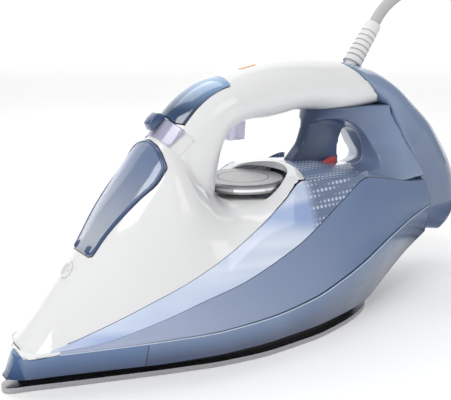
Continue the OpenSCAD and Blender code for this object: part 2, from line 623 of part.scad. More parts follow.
pump_d = 10;
rod_d = 5;
spray_at = [114 * kx, -5.8];
boost_at = [115 * kx, 5.8];
module pump(p, z0, z1) translate([p[0], p[1], z0]) difference() {
  cylinder(d = pump_d, h = z1 - z0);
  translate([0, 0, 3]) cylinder(d = rod_d + 2 * fit, h = z1 - z0);
}
pump_z = [90 * kz, 120 * kz];
boost_z = [92 * kz, 117 * kz];
module spray_pump() color([0.9, 0.9, 0.88]) from_tip() {
  pump(spray_at, pump_z[0], pump_z[1]);
  translate([spray_at[0] - pump_d / 2 - 3, spray_at[1], pump_z[0] + 4]) rotate([0, 90, 0])
    cylinder(d = hose_d, h = 4);
}
module boost_pump() color([0.88, 0.9, 0.88]) from_tip() pump(boost_at, boost_z[0], boost_z[1]);
pipe_foot = kz * along(TANK_TOP, boost_at[0] / kx) + 0.4;
module boost_pipe() color([0.85, 0.85, 0.8]) from_tip()
  translate([boost_at[0], boost_at[1], pipe_foot]) difference() {
    cylinder(d = hose_d, h = boost_z[0] - pipe_foot);
    translate([0, 0, -1]) cylinder(d = 1.6, h = boost_z[0] - pipe_foot + 2);
  }

button_floor = 141 * kz;
module spray_button() color([0.3, 0.45, 0.68]) from_tip() difference() {
  intersection() {
    loop_volume(2, 8, -0.8);
    side_prism(BUTTON, -button_y, button_y);
  }
  difference() {
    intersection() {
      loop_volume(2, 8, 1.4);
      side_prism([for (p = BUTTON) [p[0] + 1, p[1] - 2]], -button_y + 2, button_y - 2, -2);
    }
    translate([spray_at[0], spray_at[1], button_floor]) cylinder(d = rod_d + 3, h = 20);
  }
  for (s = [0 : 0.5 : 1]) translate([0, 0, s * button_travel]) slider_space();
  translate([spray_at[0], spray_at[1], pump_z[0]]) cylinder(d = rod_d, h = button_floor - pump_z[0]);
}
module spray_plunger() color([0.9, 0.9, 0.9]) from_tip() {
  translate([spray_at[0], spray_at[1], pump_z[0] + 14]) cylinder(d = rod_d, h = button_floor - pump_z[0] - 14);
}

module steam_slider() color([0.72, 0.74, 0.9]) from_tip() on_slider() {
  slider_band(slider_r - 2, slider_r + 0.4, slider_space_h - 1, 34);
  translate([-slider_r - 4, -3, -1]) cube([5, 6, 10.5]);
}
module valve_lever() color([0.85, 0.85, 0.85]) from_tip() on_slider() {
  translate([0, 0, -4]) cylinder(r = 3, h = 8);
  translate([-slider_r + 2.1, -1.5, -2]) cube([slider_r - 2.1, 3, 4]);
}
needle_d = 3;
seat_z = cover_z + cover_t;
module valve_seat() color([0.8, 0.8, 0.7]) from_tip() translate([valve_t, 0, seat_z]) difference() {
  cylinder(d = seat_d, h = 9);
  translate([0, 0, -1]) cylinder(d = needle_d + 2 * fit, h = 20);
}
module valve_needle() color([0.75, 0.75, 0.78]) from_tip()
  translate([valve_t, 0, seat_z + 1.6]) cylinder(d = needle_d, h = slider_z - 8 - seat_z);

arm_z = 126.6 * kz;              // underside of the trigger's arm, on its plunger
module steam_trigger() color([0.8, 0.83, 0.95]) from_tip() {
  side_prism(TRIGGER, -trigger_y, trigger_y);
  translate([boost_at[0] - 1, boost_at[1] - 4, arm_z]) cube([140 * kx - boost_at[0] + 1, 4, 2.5]);
}
module boost_plunger() color([0.9, 0.9, 0.9]) from_tip()
  translate([boost_at[0], boost_at[1], boost_z[0] + 12]) cylinder(d = rod_d, h = arm_z - boost_z[0] - 12);

// ---------- thermostat and dial ----------
module temperature_dial() color([0.72, 0.72, 0.72]) from_tip() translate([dial_t, 0, dial_top - dial_h])
  difference() {
    union() {
      translate([0, 0, 3]) cylinder(d = dial_d, h = dial_h - 4);
      translate([0, 0, dial_h - 1]) cylinder(d1 = dial_d, d2 = dial_d - 3, h = 1);
      rotate_extrude(angle = 130, start = -70) square([dial_d / 2, 3]);
      cylinder(d = spindle_d + 5, h = 4);
    }
    translate([0, 0, dial_h - 0.6]) difference() {
      cylinder(d = dial_d * 0.62, h = 2);
      cylinder(d = dial_d * 0.62 - 1, h = 2);
    }
    translate([0, 0, -1]) cylinder(d = spindle_d, h = dial_h - 2);
    translate([0, 0, 4.2]) difference() {
      cylinder(d = dial_d + 1, h = 1.6);
      cylinder(d = dial_d - 1.6, h = 1.6);
    }
  }
module dial_trim() color([0.85, 0.85, 0.87]) from_tip() translate([dial_t, 0, dial_top - dial_h + 4.2])
  difference() {
    cylinder(d = dial_d - 0.2, h = 1.6);
    translate([0, 0, -1]) cylinder(d = dial_d - 1.6, h = 4);
  }
thermo_z = casting_top + 0.05;
module dial_spindle() color([0.7, 0.7, 0.7]) from_tip()
  translate([dial_t, 0, thermo_z + 6]) cylinder(d = spindle_d, h = dial_top - dial_h + dial_h - 3 - thermo_z - 6);
module thermostat() color([0.55, 0.5, 0.45]) from_tip() translate([dial_t, 0, thermo_z]) difference() {
  union() {
    cylinder(d = thermostat_d, h = 5);
    cylinder(d = spindle_d + 4, h = 9);
  }
  translate([0, 0, 5.8]) cylinder(d = spindle_d + 2 * fit, h = 20);
}
module thermal_fuse() color([0.8, 0.75, 0.5]) from_tip()
  translate([fuse_t, 9, shield_top]) rotate([90, 0, 0]) cylinder(d = 5, h = 18);
module body_screws() color([0.5, 0.5, 0.52]) from_tip() {
  for (p = shield_screws) translate([p[0] * sole_l / 243, p[1] * sole_w / 102, casting_z + 3]) {
    cylinder(d = screw_d, h = shield_top - casting_z - 3);
    translate([0, 0, shield_top - casting_z - 3]) cylinder(d = 6, h = 2);
  }
}

// ---------- mains entry ----------
module terminal_block() color([0.85, 0.8, 0.7]) from_tip() translate(at(296, 0, 62) - [0, 11, 0]) difference() {
  cube([16, 22, 14]);
  for (s = [5, 17]) translate([-1, s, 7]) rotate([0, 90, 0]) cylinder(d = 3, h = 20);
}
module lead_wires() color([0.25, 0.35, 0.7]) from_tip() for (s = [-1, 1])
  tube([at(297, 6 * s, 69), at(284, 6 * s, 67), at(262, 8 * s, 56), at(240, 12 * s, 38), at(228, 17 * s, 28)], 2.6, 2);

relief_tilt = 37.2;              // from +Z towards +X
relief_t = 243 * kx;
relief_z = 157 * kz;
module on_relief() translate([relief_t, 0, relief_z]) rotate([0, relief_tilt, 0]) children();
ball_r = 7.2;
ball_s = -17;
module cord_socket() color([0.3, 0.3, 0.33]) from_tip() on_relief() difference() {
  translate([0, 0, ball_s - 8]) cylinder(r = 9.6, h = 12);
  translate([0, 0, ball_s]) sphere(r = ball_r + fit);
  translate([0, 0, ball_s]) cylinder(d1 = 10, d2 = 16, h = 8);
}
module strain_relief() color([0.92, 0.92, 0.9]) from_tip() on_relief() {
  translate([0, 0, ball_s]) sphere(r = ball_r);
  translate([0, 0, ball_s]) cylinder(d = cord_d + 0.6, h = 2 - ball_s);
  difference() {
    cylinder(d1 = relief_d, d2 = relief_d - 2, h = relief_l);
    for (i = [0 : 5]) translate([0, 0, 3.5 + i * relief_l / 8]) difference() {
      cylinder(d = relief_d + 2, h = 1.2);
      cylinder(d = relief_d - 4, h = 1.2);
    }
  }
}

// ---------- cord ----------
// Points along the cord from the strain relief to its coil
ROUTE = [[262.4, 0, 182.4], [268.6, 0, 190], [276, -2, 197.4], [285, -5, 203], [296, -10, 206],
         [308, -17, 205], [319, -22, 199.5], [330, -22.5, 190], [340, -21, 177], [348, -18, 160],
         [354.5, -14, 140], [359, -10, 118], [362, -7, 95], [365, -5, 72], [369.5, -4.5, 52],
         [377, -4.5, 37], [386, -4.5, 29.5], [394, -4.5, 28]];
LEAD = [[376, -105.5, 4], [368, -105.5, 5.4], [361, -105.5, 10.5], [354.5, -105.5, 16],
        [348, -105.5, 18.5], [341.1, -105.5, 18.5]];
plug_y = -105.5;
coil_at = [394, -55];
coil_r = 50.5;
coil_h = 32;
cord_sides = 10;
function unit(v) = v / norm(v);
function route_at(p, u) =
  let (i = min(floor(u), len(p) - 2), f = u - i, a = p[max(i - 1, 0)], b = p[i], c = p[i + 1],
       d = p[min(i + 2, len(p) - 1)])
  0.5 * (2 * b + (c - a) * f + (2 * a - 5 * b + 4 * c - d) * f * f + (3 * b - a - 3 * c + d) * f * f * f);
module tube(p, d, per) {
  n = (len(p) - 1) * per;
  pts = [for (i = [0 : n]) let (u = i / per, c = route_at(p, u),
           v = unit(route_at(p, min(u + 0.02, len(p) - 1)) - route_at(p, max(u - 0.02, 0))),
           side = unit(cross(v, [0, 1, 0])), up = cross(v, side))
         for (k = [0 : cord_sides - 1]) let (a = 360 * k / cord_sides)
           c + d / 2 * (side * cos(a) + up * sin(a))];
  polyhedron(pts, concat(
    [[for (k = [0 : cord_sides - 1]) k]],
    [[for (k = [cord_sides - 1 : -1 : 0]) n * cord_sides + k]],
    [for (i = [0 : n - 1], k = [0 : cord_sides - 1]) let (j = (k + 1) % cord_sides, o = i * cord_sides)
      each [[o + k, o + cord_sides + k, o + j], [o + j, o + cord_sides + k, o + cord_sides + j]]]));
}
module power_cord() color([0.8, 0.8, 0.8]) from_tip() tube(ROUTE, cord_d, 1);
tie_w = 10;
tie_t = 1.2;
module cord_coil() color([0.8, 0.8, 0.8]) from_tip() translate([coil_at[0], coil_at[1], 0])
  difference() {
    rotate_extrude() translate([coil_r - 1.5 * cord_d, 0]) square([2 * cord_d, coil_h]);
    // room for the cord that comes in on top, the lead that goes out below, and the tie
    translate([-40, coil_r - cord_d / 2 - 0.5, coil_h - cord_d - 0.5]) cube([41, cord_d + 5, cord_d + 5]);
    translate([-60, -coil_r - cord_d / 2 - 5, -1]) cube([43.2, cord_d + 6, cord_d + 3.5]);
    translate([coil_r - 2 * cord_d, -tie_w / 2 - 0.1, -1]) cube([3 * cord_d, tie_w + 0.2, tie_t + 1.1]);
  }
module cord_tie() color([0.2, 0.2, 0.2]) from_tip()
  translate([coil_at[0] + coil_r - 1.5 * cord_d, coil_at[1] - tie_w / 2, 0]) difference() {
    translate([-tie_t - 0.5, 0, 0]) cube([2 * cord_d + 2 * tie_t + 0.6, tie_w, coil_h + tie_t + 0.1]);
    translate([-0.5, -1, tie_t]) cube([2 * cord_d + 0.6, tie_w + 2, coil_h - tie_t + 0.1]);
  }
module plug_lead() color([0.8, 0.8, 0.8]) from_tip() tube(LEAD, cord_d, 1);
plug_face = 282;
module plug_body() color([0.85, 0.85, 0.85]) from_tip() translate([plug_face, plug_y, plug_d / 2])
  rotate([0, 90, 0]) {
    cylinder(d = plug_d, h = 30);
    translate([0, 0, 30]) cylinder(d1 = plug_d - 6, d2 = 18, h = 8);
    translate([0, 0, 38]) cylinder(d1 = 14, d2 = 10, h = 21);
  }
module plug_pins() color([0.8, 0.78, 0.7]) from_tip() for (s = [-1, 1])
  translate([plug_face - plug_pin_l, plug_y + s * plug_pitch / 2, plug_d / 2])
    rotate([0, 90, 0]) cylinder(d = plug_pin_d, h = plug_pin_l);

soleplate();
heater_casting();
heating_element();
chamber_cover();
chamber_gasket();
heat_shield();
skirt();
side_panel_left();
side_panel_right();
water_tank();
upper_shell();
handle_cover();
rear_deck();
rear_column();
rear_cover();
heel_feet();
spray_nozzle();
spray_hose();
inlet_cup();
inlet_seal();
door_hinge_pin();
filling_door();
spray_button();
spray_plunger();
spray_pump();
steam_slider();
valve_lever();
valve_needle();
valve_seat();
steam_trigger();
boost_plunger();
boost_pump();
boost_pipe();
temperature_dial();
dial_trim();
dial_spindle();
thermostat();
thermal_fuse();
terminal_block();
lead_wires();
indicator_lamp();
handle_light();
body_screws();
cord_socket();
strain_relief();
power_cord();
cord_coil();
cord_tie();
plug_lead();
plug_body();
plug_pins();
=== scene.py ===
"""Looks of a steam iron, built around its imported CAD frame. Tables are in millimetres."""

import math

import bmesh
import bpy
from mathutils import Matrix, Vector
from mathutils.bvhtree import BVHTree


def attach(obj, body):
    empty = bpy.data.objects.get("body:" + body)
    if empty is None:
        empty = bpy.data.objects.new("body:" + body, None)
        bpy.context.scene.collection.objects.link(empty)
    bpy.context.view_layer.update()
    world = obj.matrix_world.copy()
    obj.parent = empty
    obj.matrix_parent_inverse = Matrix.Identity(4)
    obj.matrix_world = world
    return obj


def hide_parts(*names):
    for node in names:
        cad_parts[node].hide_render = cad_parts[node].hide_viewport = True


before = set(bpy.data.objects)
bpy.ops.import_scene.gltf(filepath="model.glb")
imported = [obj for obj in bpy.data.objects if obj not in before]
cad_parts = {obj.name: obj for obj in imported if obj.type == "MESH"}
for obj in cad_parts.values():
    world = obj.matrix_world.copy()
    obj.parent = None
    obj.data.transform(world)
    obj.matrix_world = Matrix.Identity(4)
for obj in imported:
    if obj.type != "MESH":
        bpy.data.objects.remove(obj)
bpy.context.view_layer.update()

MM = 0.001
TIP_X = -170.0        # the soleplate's tip in the frame
SEAM = 0.35           # gap between neighbouring covers


# ---------- places and curves ----------

def place(t, y, z):
    """A point given as station from the sole's tip, side and height."""
    return Vector(((t + TIP_X) * MM, y * MM, z * MM))


def along(table, t):
    """Value at station t of a smooth curve through [station, value] rows."""
    i = 0
    while i < len(table) - 2 and t >= table[i + 1][0]:
        i += 1

    def slope(k):
        def rise(a):
            return (table[a + 1][1] - table[a][1]) / (table[a + 1][0] - table[a][0])
        if k == 0:
            return rise(0)
        if k == len(table) - 1:
            return rise(k - 1)
        before, after = rise(k - 1), rise(k)
        return 0 if before * after <= 0 else 2 * before * after / (before + after)

    (t0, v0), (t1, v1) = table[i], table[i + 1]
    h = t1 - t0
    u = min(max((t - t0) / h, 0), 1)
    return (v0 * (2 * u**3 - 3 * u**2 + 1) + slope(i) * h * (u**3 - 2 * u**2 + u)
            + v1 * (3 * u**2 - 2 * u**3) + slope(i + 1) * h * (u**3 - u**2))


def through(rows, u):
    """Point at u of a rounded curve through rows, one row for each whole number."""
    u = min(max(u, 0), len(rows) - 1)
    i = min(int(u), len(rows) - 2)
    f = u - i
    a, b, c, d = (rows[min(max(k, 0), len(rows) - 1)] for k in (i - 1, i, i + 1, i + 2))
    return [0.5 * (2 * q + (r - p) * f + (2 * p - 5 * q + 4 * r - s) * f * f
                   + (3 * q - p - 3 * r + s) * f**3) for p, q, r, s in zip(a, b, c, d)]


def steps(first, last, count):
    return [first + (last - first) * i / (count - 1) for i in range(count)]


# Plan outline of the soleplate
SOLE = [[0, 1.4], [1, 3.4], [4, 5.4], [11, 8], [32, 16.5], [56, 26], [82, 36], [111, 45.5],
        [140, 50.4], [168, 51], [195, 47.6], [221, 39.6], [234, 31], [240, 22], [243, 6]]
# Skirt's lower edge, skirt's upper edge, top of the satin panel, rim of the white shell
KEEL_Z = [[0, 8], [215, 8], [225, 9], [235, 12.5], [245, 18], [271, 33], [290, 41.5]]
KEEL_Y = [[0, 0], [2, 4], [9, 10], [23, 15.5], [38, 21.5], [55, 28.5], [73, 36], [92, 42],
          [110, 46.5], [141, 50], [165, 50], [197, 46.5], [220, 41.5], [246, 36.5], [290, 33]]
EDGE_Z = [[0, 22], [9, 22], [75, 23.5], [106, 24.5], [140, 26], [165, 29], [190, 34.5],
          [210, 40], [226, 45.5], [243, 51.5], [266, 57.5], [290, 61.5]]
EDGE_Y = [[0, 0.5], [2, 2.2], [5, 3.4], [8.5, 4.6], [11, 12.5], [16, 17], [25, 21], [45, 29.5],
          [75, 41.5], [106, 51], [140, 54], [165, 54], [190, 52], [210, 49.5], [226, 47],
          [243, 44.5], [266, 40], [290, 35.5]]
PANEL_Z = [[0, 22.2], [40, 25], [66, 32], [90, 40.5], [122, 48.5], [155, 60], [173, 68],
           [195, 79.5], [220, 91], [231, 89], [247, 85.5], [262, 82], [290, 78]]
PANEL_Y = [[0, 0.5], [5, 2.4], [8.5, 4.4], [11, 12.5], [16, 16.9], [25, 20.7], [45, 29],
           [66, 37], [90, 45], [122, 48.5], [155, 48], [173, 46], [195, 43], [220, 40.5],
           [247, 38], [270, 34.5], [290, 31]]
RIM_Z = [[0, 22.4], [14, 23], [26, 26], [45, 33.5], [66, 42.5], [90, 52], [113, 62.5],
         [135, 73.5], [155, 84.5], [172, 94], [190, 93], [206, 92], [220, 91], [231, 89],
         [247, 85.5], [262, 82], [290, 78]]
RIM_Y = [[0, 0.5], [5, 2], [8.5, 4.2], [11, 12.5], [16, 16.6], [25, 20], [45, 28], [66, 35],
         [90, 40], [113, 42], [135, 41], [155, 38.5], [172, 35.5], [190, 37.5], [206, 39.5],
         [220, 40.5], [247, 38], [270, 34.5], [290, 31]]
# Crown of the body on its middle plane
CROWN_Z = [[0, 5], [2, 8], [9, 22.5], [14, 27.5], [21, 35.5], [33, 50.5], [38.5, 57.5],
           [47.5, 68.5], [54, 77.5], [62, 88.5], [70, 98.5], [79, 109], [84, 115], [90, 121],
           [98, 120], [108, 109], [120, 94], [130, 87], [148, 87], [158, 91], [166, 95],
           [174, 97.5], [184, 98.5], [200, 98], [220, 95], [247, 90], [262, 86.5], [290, 82]]
FLANK = [[0, 0.42], [40, 0.42], [62, 0.36], [92, 0.36], [108, 0.5], [125, 0.62], [290, 0.62]]
# Handle loop: outer station and height, inner station and height, half width, fullness
LOOP = [[70, 96, 128, 84, 18.5, 2], [80, 109, 129, 96, 18.7, 2], [91, 123, 130, 106, 19, 2],
        [102, 135.5, 132, 114, 19, 2], [113, 144.5, 136, 121, 19, 2],
        [125, 150.5, 144, 126, 19, 2], [138, 153.5, 154, 127.5, 18.6, 2],
        [152, 157, 164, 127.5, 18.4, 2], [168, 160, 175, 128.5, 18.4, 2],
        [184, 161.6, 188, 130.5, 18.8, 2], [200, 162, 204, 130, 19.6, 2],
        [212, 161.5, 226, 127, 20.6, 2], [221, 160.5, 257, 130, 21.6, 2.2],
        [236, 157.5, 260, 126, 22.4, 2.4], [250, 154, 262, 121, 24, 2.6],
        [266, 145.5, 265, 116, 26, 2.8], [282, 133.5, 269, 108, 27.4, 3],
        [298, 120.5, 274, 100, 29, 3.2], [313, 107, 279, 90, 30.2, 2.6],
        [327, 92.5, 284, 79, 31.6, 2.2], [337, 76, 289, 67, 33, 2], [340, 61, 291, 58, 33.6, 2],
        [334, 46, 291, 50, 33.4, 2], [318, 37, 290, 43, 32.2, 2.2]]
BORDER = 12          # row of LOOP where the white handle meets the heel cover
CREASE = 0.46        # share of the handle's section below its crease

DIAL_T = 153.65
DECK_BEND = 58.5     # radius of the white deck's rear edge
DECK_MIDDLE = 184 - DECK_BEND
DOOR_HINGE = (48, 68)
DOOR_TILT = math.atan2(53, 42)
# Door outline on the slope: distance up the slope from the hinge, half width
DOOR = [[-2.5, 9], [-1, 11], [8, 12.2], [24, 15.6], [37, 18.2], [49, 20.6], [56, 20.4],
        [61, 16.5], [65.5, 9], [67.3, 1]]
DOOR_HALF = 35       # half of the door's length, to which its outline grows in proportion


# ---------- mesh making ----------

def piece(name, vertices, faces, smooth=True):
    mesh = bpy.data.meshes.new(name)
    mesh.from_pydata([tuple(v) for v in vertices], [], faces)
    bm = bmesh.new()
    bm.from_mesh(mesh)
    bmesh.ops.remove_doubles(bm, verts=bm.verts, dist=1e-6)
    bmesh.ops.dissolve_degenerate(bm, edges=bm.edges, dist=1e-7)
    bmesh.ops.recalc_face_normals(bm, faces=bm.faces)
    bm.to_mesh(mesh)
    bm.free()
    mesh.polygons.foreach_set("use_smooth", [smooth] * len(mesh.polygons))
    made = bpy.data.objects.new(name, mesh)
    bpy.context.collection.objects.link(made)
    return made


def loft(name, rings, closed_ring=True):
    """Skin over rings with the same number of points; closed rings get end caps."""
    n = len(rings[0])
    faces = []
    for i in range(len(rings) - 1):
        for k in range(n if closed_ring else n - 1):
            j = (k + 1) % n
            faces.append((i * n + k, i * n + j, (i + 1) * n + j, (i + 1) * n + k))
    if closed_ring:
        faces.append(tuple(range(n - 1, -1, -1)))
        faces.append(tuple((len(rings) - 1) * n + k for k in range(n)))
    return piece(name, [p for r in rings for p in r], faces)


def prism(name, outline, lift):
    """Solid from a closed outline of points, carried along the vector lift."""
    n = len(outline)
    base = [Vector(p) for p in outline]
    faces = [tuple(range(n - 1, -1, -1)), tuple(range(n, 2 * n))]
    faces += [(k, (k + 1) % n, n + (k + 1) % n, n + k) for k in range(n)]
    return piece(name, base + [p + lift for p in base], faces, smooth=False)


def side_prism(name, outline, y0, y1):
    """Solid from a side-view outline, carried across the body."""
    return prism(name, [place(t, y0, z) for t, z in outline], Vector((0, (y1 - y0) * MM, 0)))


def rod(name, points, radius, roundness=3, closed=False, capped=False):
    """A round rod along a line of points, kept as a curve."""
    curve = bpy.data.curves.new(name, "CURVE")
    curve.dimensions = "3D"
    curve.bevel_depth = radius * MM
    curve.bevel_resolution = roundness
    curve.use_fill_caps = capped
    spline = curve.splines.new("POLY")
    spline.points.add(len(points) - 1)
    for point, where in zip(spline.points, points):
        point.co = (*where, 1)
    spline.use_cyclic_u = closed
    made = bpy.data.objects.new(name, curve)
    bpy.context.collection.objects.link(made)
    return made


def apply_modifiers(made):
    graph = bpy.context.evaluated_depsgraph_get()
    mesh = bpy.data.meshes.new_from_object(made.evaluated_get(graph))
    made.modifiers.clear()
    old = made.data
    made.data = mesh
    bpy.data.meshes.remove(old)
    return made


def cut(made, *cutters, mode="DIFFERENCE"):
    """Boolean cut by each cutter in turn, which is used up."""
    for tool in cutters:
        step = made.modifiers.new("cut", "BOOLEAN")
        step.operation = mode
        step.solver = "EXACT"
        step.object = tool
        apply_modifiers(made)
        bpy.data.objects.remove(tool)
    return made


def fuse_round(made, others, voxel, rounds):
    """Melts closed shells into one skin and rounds its edges and the joins between them."""
    bm = bmesh.new()
    for o in [made, *others]:
        bm.from_mesh(o.data)
    bm.to_mesh(made.data)
    bm.free()
    for o in others:
        bpy.data.objects.remove(o)
    skin = made.modifiers.new("skin", "REMESH")
    skin.mode = "VOXEL"
    skin.voxel_size = voxel
    skin.use_smooth_shade = True
    relax = made.modifiers.new("relax", "SMOOTH")
    relax.factor = 0.5
    relax.iterations = rounds
    return apply_modifiers(made)


def copy_of(made, name):
    twin = bpy.data.objects.new(name, made.data.copy())
    bpy.context.collection.objects.link(twin)
    return twin


def shade_by_angle(made, degrees):
    """Smooth shading, but for edges sharper than the angle."""
    made.data.polygons.foreach_set("use_smooth", [True] * len(made.data.polygons))
    bm = bmesh.new()
    bm.from_mesh(made.data)
    limit = math.radians(degrees)
    for e in bm.edges:
        e.smooth = not (len(e.link_faces) == 2 and e.calc_face_angle(0) > limit)
    bm.to_mesh(made.data)
    bm.free()
    return made


def soften(made, width, segments=3, angle=35):
    """Rounds the edges sharper than the angle."""
    bevel = made.modifiers.new("soft edges", "BEVEL")
    bevel.width = width * MM
    bevel.segments = segments
    bevel.limit_method = "ANGLE"
    bevel.angle_limit = math.radians(angle)
    apply_modifiers(made)
    return shade_by_angle(made, 40)


# ---------- sections of the body and the handle ----------

def section(t, s, inset=0.0):
    """(side, height) on the body at station t: s is 0 at the keel, 1 at the skirt's edge,
    2 at the panel's top, 3 at the rim and 4 at the crown. The inset goes inwards."""
    crown = along(CROWN_Z, t) - inset
    rim = min(along(RIM_Z, t), crown)
    ry = max(along(RIM_Y, t) - inset, 0.1)
    fullness = along(FLANK, t)

    def flank(v):
        return [ry * (1 - v) ** fullness, rim + (crown - rim) * v]

    if s >= 3:
        return flank(min(s - 3, 1))
    top = min(along(PANEL_Z, t), rim)
    rows = [[max(along(KEEL_Y, t) - inset, 0.1), min(along(KEEL_Z, t), crown)],
            [max(along(EDGE_Y, t) - inset, 0.1), min(along(EDGE_Z, t), top)],
            [max(along(PANEL_Y, t) - inset, 0.1), top], flank(0), flank(0.12)]
    return through(rows, s)


def body_patch(name, stations, s0, s1, side, across, thick=1.6):
    """One wall of the body between two section lines, with its own thickness."""
    lines = steps(s0, s1, across)
    rings = []
    for t in stations:
        around = [section(t, s) for s in lines] + [section(t, s, thick) for s in reversed(lines)]
        rings.append([place(t, side * y, z) for y, z in around])
    return shade_by_angle(loft(name, rings), 50)


def loop_section(u, v):
    """(station, height, half width) on the handle loop at row u and share v of its section."""
    ot, oz, it, iz, half, fullness = through(LOOP, u)
    if v < CREASE:
        x = (CREASE - v) / CREASE
        spread = 1.0 if u > BORDER else max(1 - x**2.6, 0) ** 0.42
    else:
        x = (v - CREASE) / (1 - CREASE)
        spread = max(1 - x**fullness, 0) ** (1 / fullness)
    return it + (ot - it) * v, iz + (oz - iz) * v, half * spread


def loop_solid(name, first, last, rows, around=36, grow=0.0):
    rings = []
    for u in steps(first, last, rows):
        half = []
        for k in range(around + 1):
            v = 0.5 - 0.5 * math.cos(math.pi * k / around)
            half.append((v, *loop_section(u, v)))
        near = [place(t, y + grow, z) for v, t, z, y in half]
        far = [place(t, -y - grow, z) for v, t, z, y in reversed(half)]
        rings.append(near + far)
    return loft(name, rings)


def mirrored(t, half):
    """A closed ring across the body from its near half of (side, height) pairs."""
    return [place(t, y, z) for y, z in half] + [place(t, -y, z) for y, z in reversed(half)]


def crown_half(t, count, inset=0.0):
    """(side, height) pairs from just above the rim to the crown, closer at the top."""
    return [section(t, 3 + math.sin(math.pi / 2 * k / count), inset) for k in range(1, count + 1)]


def body_solid(name, stations):
    return loft(name, [mirrored(t, [section(t, s) for s in steps(2, 3, 6)] + crown_half(t, 26))
                       for t in stations])


def under(name, table, rise):
    """Everything across the body that lies under a curve of heights and its rise."""
    line = [(t, along(table, t) + rise) for t in range(-10, 400, 4)]
    return side_prism(name, [(-10, -10)] + line + [(line[-1][0], -10)], -90, 90)


# ---------- shared effects ----------

def add_node(tree, kind, inputs, **settings):
    """A new shader node, each input given a value or the output that feeds it."""
    made = tree.nodes.new("ShaderNode" + kind)
    for setting, value in settings.items():
        setattr(made, setting, value)
    for label, value in inputs.items():
        if isinstance(value, bpy.types.NodeSocket):
            tree.links.new(value, made.inputs[label])
        else:
            made.inputs[label].default_value = value
    return made


def arithmetic(tree, operation, *values):
    return add_node(tree, "Math", dict(enumerate(values)), operation=operation).outputs[0]


def tinted(tree, colour, amount):
    return add_node(tree, "VectorMath", {0: colour, "Scale": amount}, operation="SCALE").outputs[0]


def noise(tree, spot, scale, **more):
    return add_node(tree, "TexNoise", {"Vector": spot, "Scale": scale, **more}).outputs["Fac"]


def object_place(tree):
    """A point's place in the frame, in metres."""
    return tree.nodes.new("ShaderNodeTexCoord").outputs["Object"]


def effect_group(name, inputs):
    """An empty node group with named inputs, and a function that sets what it gives out."""
    tree = bpy.data.node_groups.new(name, "ShaderNodeTree")
    for label, kind, value in inputs:
        socket = tree.interface.new_socket(label, in_out="INPUT", socket_type=kind)
        socket.default_value = value
    for label, kind in (("Color", "NodeSocketColor"), ("Roughness", "NodeSocketFloat"),
                        ("Height", "NodeSocketFloat")):
        tree.interface.new_socket(label, in_out="OUTPUT", socket_type=kind)
    end = tree.nodes.new("NodeGroupOutput")

    def give(colour, roughness, height):
        for label, value in (("Color", colour), ("Roughness", roughness), ("Height", height)):
            tree.links.new(value, end.inputs[label])
        return tree

    return tree, tree.nodes.new("NodeGroupInput").outputs, give


def make_moulded_effect():
    """Slow colour drift, fine orange peel and faint rub marks of moulded plastic."""
    tree, given, give = effect_group(
        "moulded surface",
        [("Base", "NodeSocketColor", (1, 1, 1, 1)), ("Drift", "NodeSocketFloat", 0.05),
         ("Gloss", "NodeSocketFloat", 0.1), ("Rub", "NodeSocketFloat", 0.05),
         ("Peel Size", "NodeSocketFloat", 500.0)])
    spot = object_place(tree)
    centred = arithmetic(tree, "SUBTRACT", noise(tree, spot, 14), 0.5)
    amount = arithmetic(tree, "MULTIPLY_ADD", centred, given["Drift"], 1.0)
    rub = noise(tree, spot, 90, Detail=5)
    return give(tinted(tree, given["Base"], amount),
                arithmetic(tree, "MULTIPLY_ADD", rub, given["Rub"], given["Gloss"]),
                noise(tree, spot, given["Peel Size"]))


def make_brushed_effect():
    """Fine lines of brushed metal, with their own roughness and height."""
    tree, given, give = effect_group(
        "brushed lines",
        [("Base", "NodeSocketColor", (0.7, 0.7, 0.7, 1)), ("Contrast", "NodeSocketFloat", 0.2),
         ("Gloss", "NodeSocketFloat", 0.25), ("Along", "NodeSocketVector", (40, 900, 900))])
    stretched = add_node(tree, "VectorMath", {0: object_place(tree), 1: given["Along"]},
                         operation="MULTIPLY").outputs[0]
    lines = noise(tree, stretched, 1, Detail=6)
    shade = arithmetic(tree, "MULTIPLY_ADD", lines, given["Contrast"], 0.9)
    return give(tinted(tree, given["Base"], shade),
                arithmetic(tree, "MULTIPLY_ADD", lines, 0.18, given["Gloss"]), lines)


MOULDED = make_moulded_effect()
BRUSHED = make_brushed_effect()


# ---------- finishes ----------

def bumped(tree, height, strength, distance):
    bump = add_node(tree, "Bump", {"Height": height, "Strength": strength, "Distance": distance})
    tree.links.new(bump.outputs["Normal"], tree.nodes["Principled BSDF"].inputs["Normal"])


def from_effect(name, effect, values, bump, distance):
    """A finish that takes its colour, roughness and bump from a shared effect."""
    finish = bpy.data.materials.new(name)
    finish.use_nodes = True
    tree = finish.node_tree
    shader = tree.nodes["Principled BSDF"]
    skin = add_node(tree, "Group", values, node_tree=effect)
    tree.links.new(skin.outputs["Color"], shader.inputs["Base Color"])
    tree.links.new(skin.outputs["Roughness"], shader.inputs["Roughness"])
    bumped(tree, skin.outputs["Height"], bump, distance)
    return finish, shader


def moulded(name, colour, gloss=0.1, rub=0.06, drift=0.06, coat=0.0, peel=500, bump=0.06,
            clear=0.0, metallic=0.0):
    """A moulded plastic or rubber finish."""
    values = {"Base": (*colour, 1), "Gloss": gloss, "Rub": rub, "Drift": drift, "Peel Size": peel}
    finish, shader = from_effect(name, MOULDED, values, bump, 0.0003)
    shader.inputs["Coat Weight"].default_value = coat
    shader.inputs["Coat Roughness"].default_value = 0.04
    shader.inputs["Transmission Weight"].default_value = clear
    shader.inputs["Metallic"].default_value = metallic
    return finish


